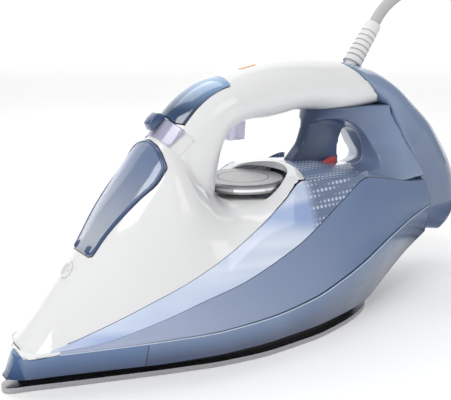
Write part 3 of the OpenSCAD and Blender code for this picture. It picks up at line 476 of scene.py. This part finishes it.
def brushed(name, colour, gloss=0.22, contrast=0.2, stretch=(40, 900, 900), bump=0.05):
    """A metal finish with fine lines."""
    values = {"Base": (*colour, 1), "Gloss": gloss, "Contrast": contrast, "Along": stretch}
    finish, shader = from_effect(name, BRUSHED, values, bump, 0.0002)
    shader.inputs["Metallic"].default_value = 1.0
    return finish


def set_base(finish, tone):
    """Feeds a moulded finish's colour from a node's output."""
    skin = next(n for n in finish.node_tree.nodes if n.type == "GROUP")
    finish.node_tree.links.new(tone, skin.inputs["Base"])
    return finish


def map_range(tree, value, low, high, to_low=0.0, to_high=1.0):
    return add_node(tree, "MapRange", {"Value": value, "From Min": low, "From Max": high,
                                       "To Min": to_low, "To Max": to_high}).outputs["Result"]


def colour_mix(tree, factor, first, second):
    return add_node(tree, "Mix", {"Factor": factor, "A": first, "B": second},
                    data_type="RGBA").outputs["Result"]


def ramp_between(tree, value, low, high, colour_low, colour_high):
    return colour_mix(tree, map_range(tree, value, low, high), (*colour_low, 1),
                      (*colour_high, 1))


def place_axis(tree, axis):
    return add_node(tree, "SeparateXYZ", {0: object_place(tree)}).outputs[axis]


def graded(name, axis, low, high, colour_low, colour_high, **how):
    """A moulded finish whose colour runs from one tone to another along an axis."""
    finish = moulded(name, colour_low, **how)
    tree = finish.node_tree
    return set_base(finish, ramp_between(tree, place_axis(tree, axis), low, high, colour_low,
                                         colour_high))


def make_skirt_painted_shade_blue():
    """Gloss blue with painted shade: deep navy at the skirt's keel, running to pale, painted light
    at its upper edge.
    """
    finish = moulded("skirt blue with painted shade", (0.05, 0.1, 0.2), gloss=0.1, rub=0.05, coat=1.0, bump=0.04)
    tree = finish.node_tree
    # heights of the keel and the edge, which rise towards the heel
    keel = map_range(tree, place_axis(tree, "X"), 0.045, 0.12, 0.008, 0.0415)
    edge = map_range(tree, place_axis(tree, "X"), -0.03, 0.1, 0.025, 0.062)
    share = map_range(tree, place_axis(tree, "Z"), keel, edge)
    # painted shade: the colour darkens from the skirt's upper edge down to its keel
    return set_base(finish, ramp_between(tree, share, 0.15, 1.0, (0.006, 0.035, 0.12),
                                         (0.17, 0.27, 0.45)))


def dimples(tree, painted_glint, ground):
    """Rows of small dimples: their distance field, and the colour made from it, with a painted
    highlight in each dimple.
    """
    cells = add_node(tree, "TexVoronoi", {"Vector": object_place(tree), "Scale": 330,
                                          "Randomness": 0.0}).outputs["Distance"]
    return cells, ramp_between(tree, cells, 0.18, 0.42, painted_glint, ground)


def make_dimpled_blue():
    """Dark blue gloss with rows of small dimples, each with a painted highlight at its centre."""
    finish = moulded("dimpled blue", (0.07, 0.12, 0.23), gloss=0.1, rub=0.05, coat=1.0)
    cells, tone = dimples(finish.node_tree, (0.8, 0.86, 0.95), (0.24, 0.31, 0.46))
    bumped(finish.node_tree, cells, 0.6, 0.0006)
    return set_base(finish, tone)


def make_window_clear():
    """Clear tank wall: long pale and darker streaks for the wavy surface inside, partly painted
    reflection, and the dimpled zone at its rear end.
    """
    finish = moulded("tank window", (0.5, 0.6, 0.86), gloss=0.05, rub=0.03, drift=0.05, coat=1.0,
                     bump=0.01)
    tree = finish.node_tree
    stretched = add_node(tree, "Mapping", {"Vector": object_place(tree), "Scale": (7, 7, 46),
                                           "Rotation": (0, math.radians(28), 0)}).outputs[0]
    # the streaks stand partly for the wavy surface inside the tank and partly for painted
    # reflections on the wall
    water = noise(tree, stretched, 1.0, Detail=1.5, Distortion=0.6)
    ripple_and_sheen_bands = ramp_between(tree, water, 0.36, 0.62, (0.33, 0.44, 0.72), (0.8, 0.87, 1.0))
    dots = dimples(tree, (0.62, 0.7, 0.84), (0.16, 0.21, 0.33))[1]
    rear = map_range(tree, place_axis(tree, "X"), -0.001, 0.006)
    return set_base(finish, colour_mix(tree, rear, ripple_and_sheen_bands, dots))


white_gloss = moulded("white gloss", (0.84, 0.845, 0.85), gloss=0.08, rub=0.05, drift=0.02,
                      coat=0.6, bump=0.03)
skirt_painted_shade_blue = make_skirt_painted_shade_blue()
# painted highlight: a pale finish for the thin rods along the skirts' upper edges
painted_highlight_edge = moulded("painted highlight edge", (0.5, 0.58, 0.7), gloss=0.15, rub=0.05, coat=1.0)
# painted shade: the nose is darker than the skirt walls and runs to near black towards its keel
nose_painted_shade_blue = graded("nose blue with painted shade", "Z", 0.008, 0.024, (0.009, 0.04, 0.13), (0.1, 0.2, 0.4),
                   gloss=0.09, rub=0.05, coat=1.0, bump=0.03)
# painted light and shade: the side panel is pale at the front, where the light falls, and darker
# towards the rear
panel_painted_light_blue = graded("satin panel blue with painted light", "X", -0.12, 0.05, (0.38, 0.44, 0.6), (0.13, 0.2, 0.36),
                    gloss=0.3, rub=0.1, coat=0.25, bump=0.08, peel=1500)
# painted shade: the column is near black at its front and in its scoops, and paler towards the
# rear
column_painted_shade_blue = graded("satin column blue with painted shade", "X", 0.03, 0.095, (0.025, 0.05, 0.12), (0.25, 0.33, 0.5),
                     gloss=0.26, rub=0.1, coat=0.3, bump=0.08, peel=1500)
# painted shade: the heel cover is darker low down and paler towards the top
cover_painted_shade_blue = graded("heel cover blue with painted shade", "Z", 0.04, 0.15, (0.07, 0.12, 0.25), (0.22, 0.3, 0.45),
                    gloss=0.09, rub=0.05, coat=1.0, bump=0.03)
# painted shade: the spray button's lower front is near black, and its top is paler
button_painted_shade_blue = graded("button blue with painted shade", "Z", 0.137, 0.15, (0.012, 0.045, 0.12), (0.27, 0.42, 0.64),
                     gloss=0.1, rub=0.04, coat=1.0, bump=0.02)
# painted light: the door's clear plastic is painted pale low down, for the lit room behind it, and
# darker blue higher up
door_painted_light_clear = graded("clear door with painted light", "Z", 0.075, 0.112, (0.85, 0.91, 1.0), (0.32, 0.43, 0.68),
                    gloss=0.03, rub=0.02, drift=0.1, coat=0.5, clear=0.6, bump=0.01)
door_edge = moulded("door edge", (0.03, 0.07, 0.19), gloss=0.08, rub=0.04, coat=1.0, bump=0.02)
lilac_clear = moulded("lilac clear", (0.74, 0.74, 0.93), gloss=0.04, rub=0.03, drift=0.1, coat=0.8,
                      clear=0.6, bump=0.01)
cup_blue = moulded("filling cup", (0.16, 0.24, 0.44), gloss=0.15, rub=0.06, coat=0.6)
black_matte = moulded("black heat-proof plastic", (0.012, 0.012, 0.014), gloss=0.5, rub=0.2,
                      peel=900, bump=0.2)
natural = moulded("natural plastic", (0.74, 0.73, 0.68), gloss=0.35, rub=0.15, drift=0.1)
silicone = moulded("silicone", (0.7, 0.68, 0.64), gloss=0.5, rub=0.2, drift=0.1, peel=800)
relief_white = moulded("strain relief", (0.8, 0.8, 0.79), gloss=0.38, rub=0.15, drift=0.05,
                       peel=1200, bump=0.15)
cord_grey = moulded("cord sheath", (0.5, 0.5, 0.51), gloss=0.4, rub=0.15, drift=0.06,
                    peel=1600, bump=0.2)
plug_grey = moulded("plug", (0.62, 0.62, 0.63), gloss=0.42, rub=0.15, drift=0.06, peel=1200,
                    bump=0.2)
tie_black = moulded("cord tie", (0.02, 0.02, 0.02), gloss=0.45, rub=0.15)
wire_blue = moulded("wire sheath", (0.05, 0.12, 0.4), gloss=0.35, rub=0.1)
ceramic = moulded("ceramic", (0.7, 0.64, 0.52), gloss=0.4, rub=0.2, drift=0.2, peel=300)
lamp_red = moulded("lamp red", (0.75, 0.09, 0.04), gloss=0.06, rub=0.03, coat=1.0)
mark_orange = moulded("mark orange", (0.95, 0.45, 0.18), gloss=0.12, rub=0.04, coat=0.6)
sole_steel = brushed("soleplate steel", (0.4, 0.4, 0.41), gloss=0.2, contrast=0.25,
                     stretch=(30, 1100, 1100))
plain_steel = brushed("plain steel", (0.55, 0.55, 0.57), gloss=0.3, contrast=0.15)
sheet_metal = brushed("sheet metal", (0.66, 0.66, 0.68), gloss=0.25, contrast=0.15)
cast_metal = moulded("cast aluminium", (0.5, 0.5, 0.52), gloss=0.42, rub=0.2, drift=0.2,
                     peel=260, bump=0.5, metallic=1.0)
heater_steel = brushed("heater tube", (0.32, 0.28, 0.25), gloss=0.4, contrast=0.3)
brass = brushed("brass", (0.72, 0.56, 0.28), gloss=0.25, contrast=0.15)
pin_metal = brushed("plug pins", (0.74, 0.73, 0.69), gloss=0.18, contrast=0.12)
chrome = brushed("chrome", (0.86, 0.86, 0.88), gloss=0.02, contrast=0.04, bump=0.01)
dial_silver = brushed("dial silver", (0.36, 0.36, 0.37), gloss=0.24, contrast=0.14,
                      stretch=(500, 60, 500))
dimpled_blue = make_dimpled_blue()
window_clear = make_window_clear()


def dress(made, finish, body="iron", replaces=()):
    """Gives a piece its finish, its body and the CAD nodes it stands for."""
    made.data.materials.clear()
    made.data.materials.append(finish)
    if replaces:
        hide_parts(*replaces)
    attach(made, body)
    return made


# ---------- camera ----------

def make_camera():
    camera = bpy.data.objects.new("camera", bpy.data.cameras.new("camera"))
    bpy.context.collection.objects.link(camera)
    camera.data.sensor_width = 36.0
    camera.data.lens = 52.9
    camera.data.clip_start = 0.01
    camera.location = (-0.2547, -0.3125, 0.1803)
    looking = Vector((0.566, 0.785, -0.2527))
    camera.rotation_mode = "QUATERNION"
    camera.rotation_quaternion = looking.to_track_quat("-Z", "Y")
    bpy.context.scene.camera = camera


make_camera()


# ---------- mains cord ----------

CORD_D = 8.0
ROUTE = [(262.4, 0, 182.4), (268.6, 0, 190), (276, -2, 197.4), (285, -5, 203), (296, -10, 206),
         (308, -17, 205), (319, -22, 199.5), (330, -22.5, 190), (340, -21, 177), (348, -18, 160),
         (354.5, -14, 140), (359, -10, 118), (362, -7, 95), (365, -5, 72), (369.5, -4.5, 52),
         (377, -4.5, 37), (386, -4.5, 29.5), (394, -4.5, 28)]
LEAD = [(394, -105.5, 4), (376, -105.5, 4), (368, -105.5, 5.4), (361, -105.5, 10.5),
        (354.5, -105.5, 16), (348, -105.5, 18.5), (341.1, -105.5, 18.5)]
COIL = (394, -55)
# Places of the turns, from the top layer down: radius, height
TURNS = [(50.5, 28), (42.5, 28), (42.5, 20), (50.5, 20), (50.5, 12), (42.5, 12), (42.5, 4),
         (50.5, 4)]
COIL_TURNS = 6.5
CROSSING = 44.0       # degrees in which the cord moves over to the next turn
LAST_CROSSING = 80    # degrees into the last half turn at which it moves over
COIL_STEP = 12.0


def coil_points():
    """The coil from where the cord enters it, at 90 degrees, to where it leaves, at 270."""
    points = []
    for i in range(1, int(COIL_TURNS * 360 / COIL_STEP) + 1):
        gone = i * COIL_STEP
        turn, angle = int(gone // 360), 90 - gone
        here = gone % 360
        last = turn == int(COIL_TURNS)
        starts = LAST_CROSSING if last else 360 - CROSSING * (turn + 1)
        share = min(max((here - starts) / CROSSING, 0), 1)
        share = share * share * (3 - 2 * share)
        (r0, z0), (r1, z1) = TURNS[turn], TURNS[min(turn + 1, len(TURNS) - 1)]
        r, z = r0 + (r1 - r0) * share, z0 + (z1 - z0) * share
        a = math.radians(angle)
        points.append((COIL[0] + r * math.cos(a), COIL[1] + r * math.sin(a), z))
    return points


def rounded(points, per):
    """A rounded line through points, with so many steps between each two."""
    return [tuple(through(points, i / per)) for i in range((len(points) - 1) * per + 1)]


def make_cord():
    line = rounded(ROUTE, 3) + coil_points()[:-1] + rounded(LEAD, 3)
    spots = [place(*p) for p in line]
    made = rod("mains_cord", spots, CORD_D / 2, roundness=5, capped=True)
    dress(made, cord_grey, replaces=("power_cord", "cord_coil", "plug_lead"))


make_cord()


# ---------- white housing ----------

def on_slope(up, side, out=0.0):
    """Point on the door's slope: distance up it, side, and height along its outward normal."""
    t = DOOR_HINGE[0] + up * math.cos(DOOR_TILT) - out * math.sin(DOOR_TILT)
    z = DOOR_HINGE[1] + up * math.sin(DOOR_TILT) + out * math.cos(DOOR_TILT)
    return place(t, side, z)


SLOPE_OUT = Vector((-math.sin(DOOR_TILT), 0, math.cos(DOOR_TILT)))


def door_steps(count):
    """Distances up the door, closer together at its two ends."""
    low, high = DOOR[0][0], DOOR[-1][0]
    return [low + (high - low) * (0.5 - 0.5 * math.cos(math.pi * i / count))
            for i in range(count + 1)]


def door_line(grow, count=56):
    """Closed outline of the door as (up the slope, side) pairs."""
    middle, stretch = (DOOR[0][0] + DOOR[-1][0]) / 2, 1 + grow / DOOR_HALF
    half = [(middle + (u - middle) * stretch, max(along(DOOR, u) + grow, 0.3))
            for u in door_steps(count)]
    return half + [(u, -w) for u, w in reversed(half)]


def door_prism(name, grow, deep):
    lift = SLOPE_OUT * (30 + deep) * MM
    return prism(name, [on_slope(u, w, -deep) for u, w in door_line(grow)], lift)


BUTTON = [(99.5, 131), (106, 129.5), (110.5, 131), (115, 137), (122, 143), (129, 147.5),
          (134.5, 149), (136, 175), (95, 175)]
SLIDER_T, SLIDER_Z = 105.5, 114
SLIDER_TILT = math.atan2(77, 63)
SLIDER_OUT = Vector((-math.cos(SLIDER_TILT), 0, math.sin(SLIDER_TILT)))
SLIDER_AXIS = Vector((math.sin(SLIDER_TILT), 0, math.cos(SLIDER_TILT)))


def slider_point(r, angle, h):
    """Point about the slider's axis; angle 0 looks out of the front ridge."""
    a = math.radians(angle)
    return place(SLIDER_T, 0, SLIDER_Z) + MM * (
        SLIDER_OUT * r * math.cos(a) + Vector((0, r * math.sin(a), 0)) + SLIDER_AXIS * h)


def slider_wedge(name, h, reach, r0):
    """A wedge about the slider's axis: height, degrees to each side and inner radius."""
    angles = steps(-reach, reach, 25)
    ring = [slider_point(40, a, -h / 2) for a in angles]
    ring += [slider_point(r0, a, -h / 2) for a in reversed(angles)]
    return prism(name, ring, SLIDER_AXIS * h * MM)


def white_form():
    """The smooth outer form of the white housing before anything is cut out of it."""
    stations = [3, 5, 7, 8.5, 9.5, 11, 13, 16] + list(range(19, 190, 3))
    body = body_solid("white_form", stations)
    handle = loop_solid("handle_form", 0, BORDER, 60)
    return fuse_round(body, [handle], 1.25 * MM, 9)


def rear_of_deck(name):
    """Everything of the body behind the white deck's curved rear edge."""
    bend = [(DECK_MIDDLE + DECK_BEND * math.cos(a), DECK_BEND * math.sin(a))
            for a in steps(-math.pi / 2, math.pi / 2, 60)]
    line = [(400, -90), (DECK_MIDDLE, -90)] + bend + [(DECK_MIDDLE, 90), (400, 90)]
    return prism(name, [place(t, y, 40) for t, y in line], Vector((0, 0, 66 * MM)))


def disc_prism(name, t, y, z0, z1, radius, count=96):
    ring = [place(t + radius * math.cos(2 * math.pi * i / count),
                  y + radius * math.sin(2 * math.pi * i / count), z0) for i in range(count)]
    return prism(name, ring, Vector((0, 0, (z1 - z0) * MM)))


FORM = white_form()
FORM_SURFACE = BVHTree.FromObject(FORM, bpy.context.evaluated_depsgraph_get())

NOZZLE = (38.5, 57.5)
NOZZLE_TILT = math.atan2(18, 14.5)
NOZZLE_OUT = Vector((-math.sin(NOZZLE_TILT), 0, math.cos(NOZZLE_TILT)))


def nozzle_point(side, up, out):
    return place(NOZZLE[0], side, NOZZLE[1]) + MM * (
        Vector((math.cos(NOZZLE_TILT), 0, math.sin(NOZZLE_TILT))) * up + NOZZLE_OUT * out)


def nozzle_seat(name, radius, low, high):
    turns = [2 * math.pi * i / 64 for i in range(64)]
    ring = [nozzle_point(radius * math.cos(a), radius * math.sin(a), low) for a in turns]
    return prism(name, ring, NOZZLE_OUT * (high - low) * MM)


def make_white_housing():
    made = copy_of(FORM, "white_housing")
    cut(made, under("below rim", RIM_Z, SEAM), rear_of_deck("behind deck"),
        door_prism("door opening", 0.5, 14),
        disc_prism("dial well", DIAL_T, 0, 83.7, 99, 26.8),
        side_prism("button bay", [(t, z - 0.8) for t, z in BUTTON], -13.4, 13.4),
        slider_wedge("slider bay", 12.6, 78, r0=16.4), nozzle_seat("nozzle seat", 4.7, -9, 12),
        side_prism("trigger bay", [(137, 124), (137, 108), (149.5, 108), (149.5, 124)], -8.6, 8.6))
    shade_by_angle(made, 38)
    dress(made, white_gloss, replaces=("upper_shell", "handle_cover"))


make_white_housing()


def proud_form(name, proud):
    """A copy of the form that stands a little proud of it."""
    made = copy_of(FORM, name)
    swell = made.modifiers.new("proud", "DISPLACE")
    swell.strength = proud * MM
    swell.mid_level = 0
    return apply_modifiers(made)


def make_button():
    """Spray button: a domed block that carries on the handle's form."""
    made = proud_form("spray_button_cap", 0.9)
    cut(made, side_prism("button block", BUTTON, -12.9, 12.9), mode="INTERSECT")
    cut(made, slider_wedge("slider room", 13.4, 80, r0=8))
    soften(made, 0.8)
    dress(made, button_painted_shade_blue, "button", ("spray_button",))


make_button()


def make_slider():
    band = proud_form("steam_slider_band", 0.7)
    cut(band, slider_wedge("band", 11.6, 52, r0=16.6), mode="INTERSECT")
    knob_ring = [slider_point(r, 0, h) + Vector((0, -3.4 * MM, 0)) for r, h in
                 [(19, -4.5), (23.6, -3.2), (24.4, 0), (24.2, 4.6), (22.5, 6.2), (19, 6.6)]]
    knob = prism("steam_slider_knob", knob_ring, Vector((0, 6.8 * MM, 0)))
    soften(band, 0.6)
    soften(knob, 0.8)
    dress(band, lilac_clear, "slider", ("steam_slider",))
    dress(knob, door_edge, "slider")


make_slider()


# ---------- filling door ----------

def surface_height(up, side):
    """Distance along the slope's normal from the door's base line to the housing's form."""
    start = on_slope(up, side, 60)
    hit, _, _, far = FORM_SURFACE.ray_cast(start, -SLOPE_OUT, 0.12)
    return 60 - far / MM if hit else 0.0


def make_door_glass():
    rings = []
    for up in door_steps(46):
        half = along(DOOR, up) - 0.1
        sides = [half * math.sin(math.pi / 2 * (2 * k / 24 - 1)) for k in range(25)]
        rings.append([on_slope(up, side, surface_height(up, side) + 0.25) for side in sides])
    glass = loft("filling_door_glass", rings, closed_ring=False)
    thick = glass.modifiers.new("wall", "SOLIDIFY")
    thick.thickness = 2.0 * MM
    thick.offset = -1
    apply_modifiers(glass)
    shade_by_angle(glass, 45)
    dress(glass, door_painted_light_clear, "door", ("filling_door",))


def make_door():
    make_door_glass()
    # dark lip round the door's edge
    rim = [on_slope(u, w, surface_height(u, w * 0.97) - 0.4) for u, w in door_line(-0.9)]
    dress(rod("filling_door_lip", rim, 1.0, closed=True), door_edge, "door")

    # knuckles at the hinge
    for side in (-1, 1):
        ring = [on_slope(u, side * 6.5 - 1.5, o) for u, o in
                [(-2.6, -5), (2.6, -5), (3.4, -1), (2.2, 1.6), (-1.6, 1.4), (-3.2, -1)]]
        knuckle = prism("door_knuckle_" + ("left" if side > 0 else "right"), ring,
                        Vector((0, 3 * MM, 0)))
        soften(knuckle, 0.5)
        dress(knuckle, door_edge, "door")


make_door()


# ---------- side walls ----------

SIDES = (("left", 1), ("right", -1))
NOSE_END = 65        # station where the closed nose passes into the two walls
SKIRT_TOP = 0.985    # section line just under the skirt's edge


def make_side_walls():
    skirt = [NOSE_END + 0.3] + list(range(NOSE_END + 4, 288, 4)) + [289.5]
    for label, side in SIDES:
        wall = body_patch("skirt_wall_" + label, skirt, 0, SKIRT_TOP, side, 12, thick=2.0)
        dress(wall, skirt_painted_shade_blue, replaces=("skirt",))
        panel = body_patch("satin_panel_" + label, [24 + 4 * i for i in range(66)] + [288],
                           1.02, 1.985, side, 18)
        dress(panel, panel_painted_light_blue, replaces=("side_panel_" + label,))
        window = body_patch("tank_window_" + label, [20 + 3 * i for i in range(67)] + [220],
                            2.01, 2.985, side, 14)
        dress(window, window_clear, replaces=("water_tank",))


make_side_walls()


# Thin pale rods along each skirt's upper edge: a painted highlight line.
def make_skirt_highlight_beads():
    for label, side in SIDES:
        edge = [(t, *section(t, 0.97)) for t in range(24, 289, 3)]
        line = [place(t, side * (y + 0.05), z) for t, y, z in edge]
        dress(rod("skirt_highlight_bead_" + label, line, 0.4), painted_highlight_edge)


make_skirt_highlight_beads()


def nose_top(t):
    """Height of the border between the blue nose and the white tip."""
    step = min(max((t - 6.5) / 3, 0), 1)
    lower = 5.5 * (1 - min(t / 34, 1)) ** 2 * step * step * (3 - 2 * step)
    return min(along(EDGE_Z, t), along(CROWN_Z, t)) - lower


def make_nose():
    """Closed nose of the skirt ahead of its two walls, and the white tip above it."""
    stations = [1.6, 2, 3.5, 5, 6.5, 7, 8, 9, 9.6, 11, 13, 16]
    stations += list(range(20, NOSE_END, 4)) + [NOSE_END]
    rings = []
    for t in stations:
        half = [section(t, s, 0.02) for s in steps(0, SKIRT_TOP, 12)]
        rings.append(mirrored(t, [(y, min(z, nose_top(t))) for y, z in half]))
    nose = shade_by_angle(loft("skirt_nose", rings), 50)
    dress(nose, nose_painted_shade_blue)

    # the tip fills the corner between the nose and the housing
    rings = []
    for t in (9, 9.6, 11, 13, 16, 19, 22, 25, 28):
        half = [section(t, s, 0.05) for s in steps(0, 3, 24)] + crown_half(t, 20, 0.05)
        rings.append(mirrored(t, [(y, max(z, nose_top(t) + 0.2)) for y, z in half]))
    tip = shade_by_angle(loft("white_tip", rings), 50)
    dress(tip, white_gloss)


make_nose()


# ---------- heel ----------

# Rear column by height: its front station, then four pairs of station and half width
COLUMN = [[82, 182, 187, 22, 206, 37.5, 231, 39.2, 286, 32.4],
          [90, 185.5, 189.5, 14, 208, 31, 235, 35.5, 281, 31.4],
          [98, 189, 191, 9, 210, 24, 240, 30, 276, 29],
          [107, 197, 199, 6, 215, 16, 240, 23, 270, 27],
          [116, 201, 203, 7, 215, 16, 240, 21, 265, 25],
          [124, 203, 206, 9, 218, 17.5, 240, 21, 260, 23],
          [131, 206, 209, 11, 220, 18.5, 240, 21, 258, 22]]
COLUMN_LEVELS = 33
# Side-view outlines of the scoops in its flanks and of the eye through it
SCOOP = [[180, 96], [189, 100], [196, 108], [199, 118], [212, 124], [226, 120.5], [237, 111],
         [241, 99], [236, 93], [214, 92], [195, 93]]
EYE = [[229.5, 98], [229.5, 107], [234, 116], [244, 112.5], [251, 104], [257, 96], [252, 91],
       [232, 91]]


def rounded_outline(points, count=72):
    """A rounded closed outline through points."""
    ring = points + points[:3]
    return [tuple(through(ring, 1 + len(points) * i / count)) for i in range(count)]


def cover_room():
    """The space of the heel cover and of the handle's rear end."""
    return loop_solid("cover room", 9, len(LOOP) - 1, 60, grow=0.2)


def make_column():
    rings = []
    for i in range(COLUMN_LEVELS + 1):
        z, front, *flanks = through(COLUMN, i / COLUMN_LEVELS * (len(COLUMN) - 1))
        corners = [(front, 0.4), *zip(flanks[::2], flanks[1::2])]
        edge = [through(corners, u) for u in steps(0, len(corners) - 1, 28)]
        rings.append([place(t, y, z) for t, y in edge]
                     + [place(t, -y, z) for t, y in reversed(edge)])
    made = loft("rear_column_shell", rings)
    scoop, eye = rounded_outline(SCOOP), rounded_outline(EYE)
    for side in (-1, 1):
        wide = [place(t, side * 42, z) for t, z in scoop]
        deep = [place(t + (t - 214) * 0.12, side * 4.4, z) for t, z in scoop]
        cut(made, loft("scoop", [wide, deep]))
    cut(made, side_prism("eye", eye, -12, 12))
    # the eye widens and leans back towards the left flank, so that it can be seen through
    near = [place(t, 4, z) for t, z in eye]
    far = [place(240 + (t - 240) * 1.25 + 22, 40, 104 + (z - 104) * 1.2 - 6) for t, z in eye]
    cut(made, loft("eye sight", [near, far]))
    fuse_round(made, [], 1.1 * MM, 5)
    cut(made, cover_room())
    shade_by_angle(made, 40)
    dress(made, column_painted_shade_blue, replaces=("rear_column",))


make_column()


def make_heel_cover():
    made = loop_solid("heel_cover_shell", BORDER, len(LOOP) - 1, 90, around=48)
    fuse_round(made, [], 1.3 * MM, 6)
    shade_by_angle(made, 40)
    dress(made, cover_painted_shade_blue, replaces=("rear_cover",))


make_heel_cover()


def make_deck():
    rings = []
    for t in (171 + 3 * i for i in range(40)):
        outer, inner = ([section(t, 3 + v, inset) for v in steps(0.0, 1, 16)]
                        for inset in (0.0, 1.6))
        rings.append(mirrored(t, outer) + mirrored(t, [(-y, z) for y, z in inner]))
    made = loft("dimpled_deck", rings)
    front = disc_prism("front of deck", DECK_MIDDLE, 0, 40, 130, DECK_BEND + 0.4)
    cut(made, front, cover_room())
    shade_by_angle(made, 45)
    dress(made, dimpled_blue, replaces=("rear_deck",))


make_deck()


# ---------- soleplate ----------

def make_soleplate():
    spots = [0, 0.4, 1, 2, 4] + list(range(6, 228, 3))
    spots += [229, 232, 235, 237.5, 239.5, 241, 242, 243]
    near = [(t, along(SOLE, t)) for t in spots]
    line = near + [(t, -y) for t, y in reversed(near)]
    made = prism("soleplate_face", [place(t, y, 0) for t, y in line], Vector((0, 0, 3 * MM)))
    vents = [(30, 0), (48, 9), (68, 16), (86, 24.5), (114, 33.5), (140, 36), (168, 37), (196, 34)]
    for t, y in vents:
        for side in ((1, -1) if y else (1,)):
            cut(made, disc_prism("vent", t, side * y, -1, 4, 1.5, 20))
    soften(made, 0.9, 4, 40)
    dress(made, sole_steel, replaces=("soleplate",))


make_soleplate()


# ---------- finishes of the parts that keep their frame shape ----------

NODE_FINISH = {
    "heater_casting": cast_metal, "heating_element": heater_steel, "chamber_cover": sheet_metal,
    "chamber_gasket": silicone, "heat_shield": black_matte, "heel_feet": black_matte,
    "spray_nozzle": white_gloss, "spray_hose": natural, "inlet_cup": cup_blue,
    "inlet_seal": silicone, "door_hinge_pin": plain_steel, "spray_plunger": natural,
    "spray_pump": natural, "valve_lever": natural, "valve_needle": plain_steel,
    "valve_seat": brass, "steam_trigger": lilac_clear, "boost_plunger": natural,
    "boost_pump": natural, "boost_pipe": silicone, "temperature_dial": dial_silver,
    "dial_trim": chrome, "dial_spindle": plain_steel, "thermostat": ceramic,
    "thermal_fuse": brass, "terminal_block": ceramic, "lead_wires": wire_blue,
    "indicator_lamp": lamp_red, "handle_light": mark_orange, "body_screws": plain_steel,
    "cord_socket": black_matte, "strain_relief": relief_white, "cord_tie": tie_black,
    "plug_body": plug_grey, "plug_pins": pin_metal,
}
for name, finish in NODE_FINISH.items():
    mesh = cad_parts[name].data
    mesh.materials.clear()
    mesh.materials.append(finish)


# ---------- floor and light ----------

def glowing(name, colour, roughness, glow):
    finish = bpy.data.materials.new(name)
    finish.use_nodes = True
    shader = finish.node_tree.nodes["Principled BSDF"]
    for label, value in (("Base Color", colour), ("Roughness", roughness),
                         ("Emission Color", (1, 1, 1, 1)), ("Emission Strength", glow)):
        shader.inputs[label].default_value = value
    return finish


def make_studio():
    below, far = -0.0002, 6
    floor = piece("floor", [(-far, -far, below), (far, -far, below), (far, far, below),
                            (-far, far, below)], [(0, 1, 2, 3)])
    floor.data.materials.append(glowing("pale floor", (0.93, 0.93, 0.93, 1), 0.7, 0.2))
    wall = piece("backdrop", [(-2, 5, -0.1), (5.6, -0.6, -0.1), (5.6, -0.6, 5), (-2, 5, 5)],
                 [(0, 1, 2, 3)])
    wall.data.materials.append(glowing("backdrop white", (1, 1, 1, 1), 0.5, 0.6))
    world = bpy.data.worlds.new("studio")
    world.use_nodes = True
    world.node_tree.nodes["Background"].inputs["Color"].default_value = (1, 1, 1, 1)
    world.node_tree.nodes["Background"].inputs["Strength"].default_value = 0.42
    bpy.context.scene.world = world
    for label, where, size, power in (
            ("key", (-0.75, -0.35, 0.95), 0.6, 6.0), ("top", (0.0, 0.5, 1.2), 0.8, 3.6),
            ("side", (0.4, -1.1, 0.7), 0.5, 1.0)):
        lamp = bpy.data.lights.new(label, "AREA")
        lamp.size = size
        lamp.energy = power
        made = bpy.data.objects.new(label, lamp)
        bpy.context.collection.objects.link(made)
        made.location = where
        made.rotation_mode = "QUATERNION"
        made.rotation_quaternion = (Vector((0, 0, 0.07)) - Vector(where)).to_track_quat("-Z", "Y")
    bpy.context.scene.view_settings.view_transform = "Standard"


make_studio()
bpy.data.objects.remove(FORM)
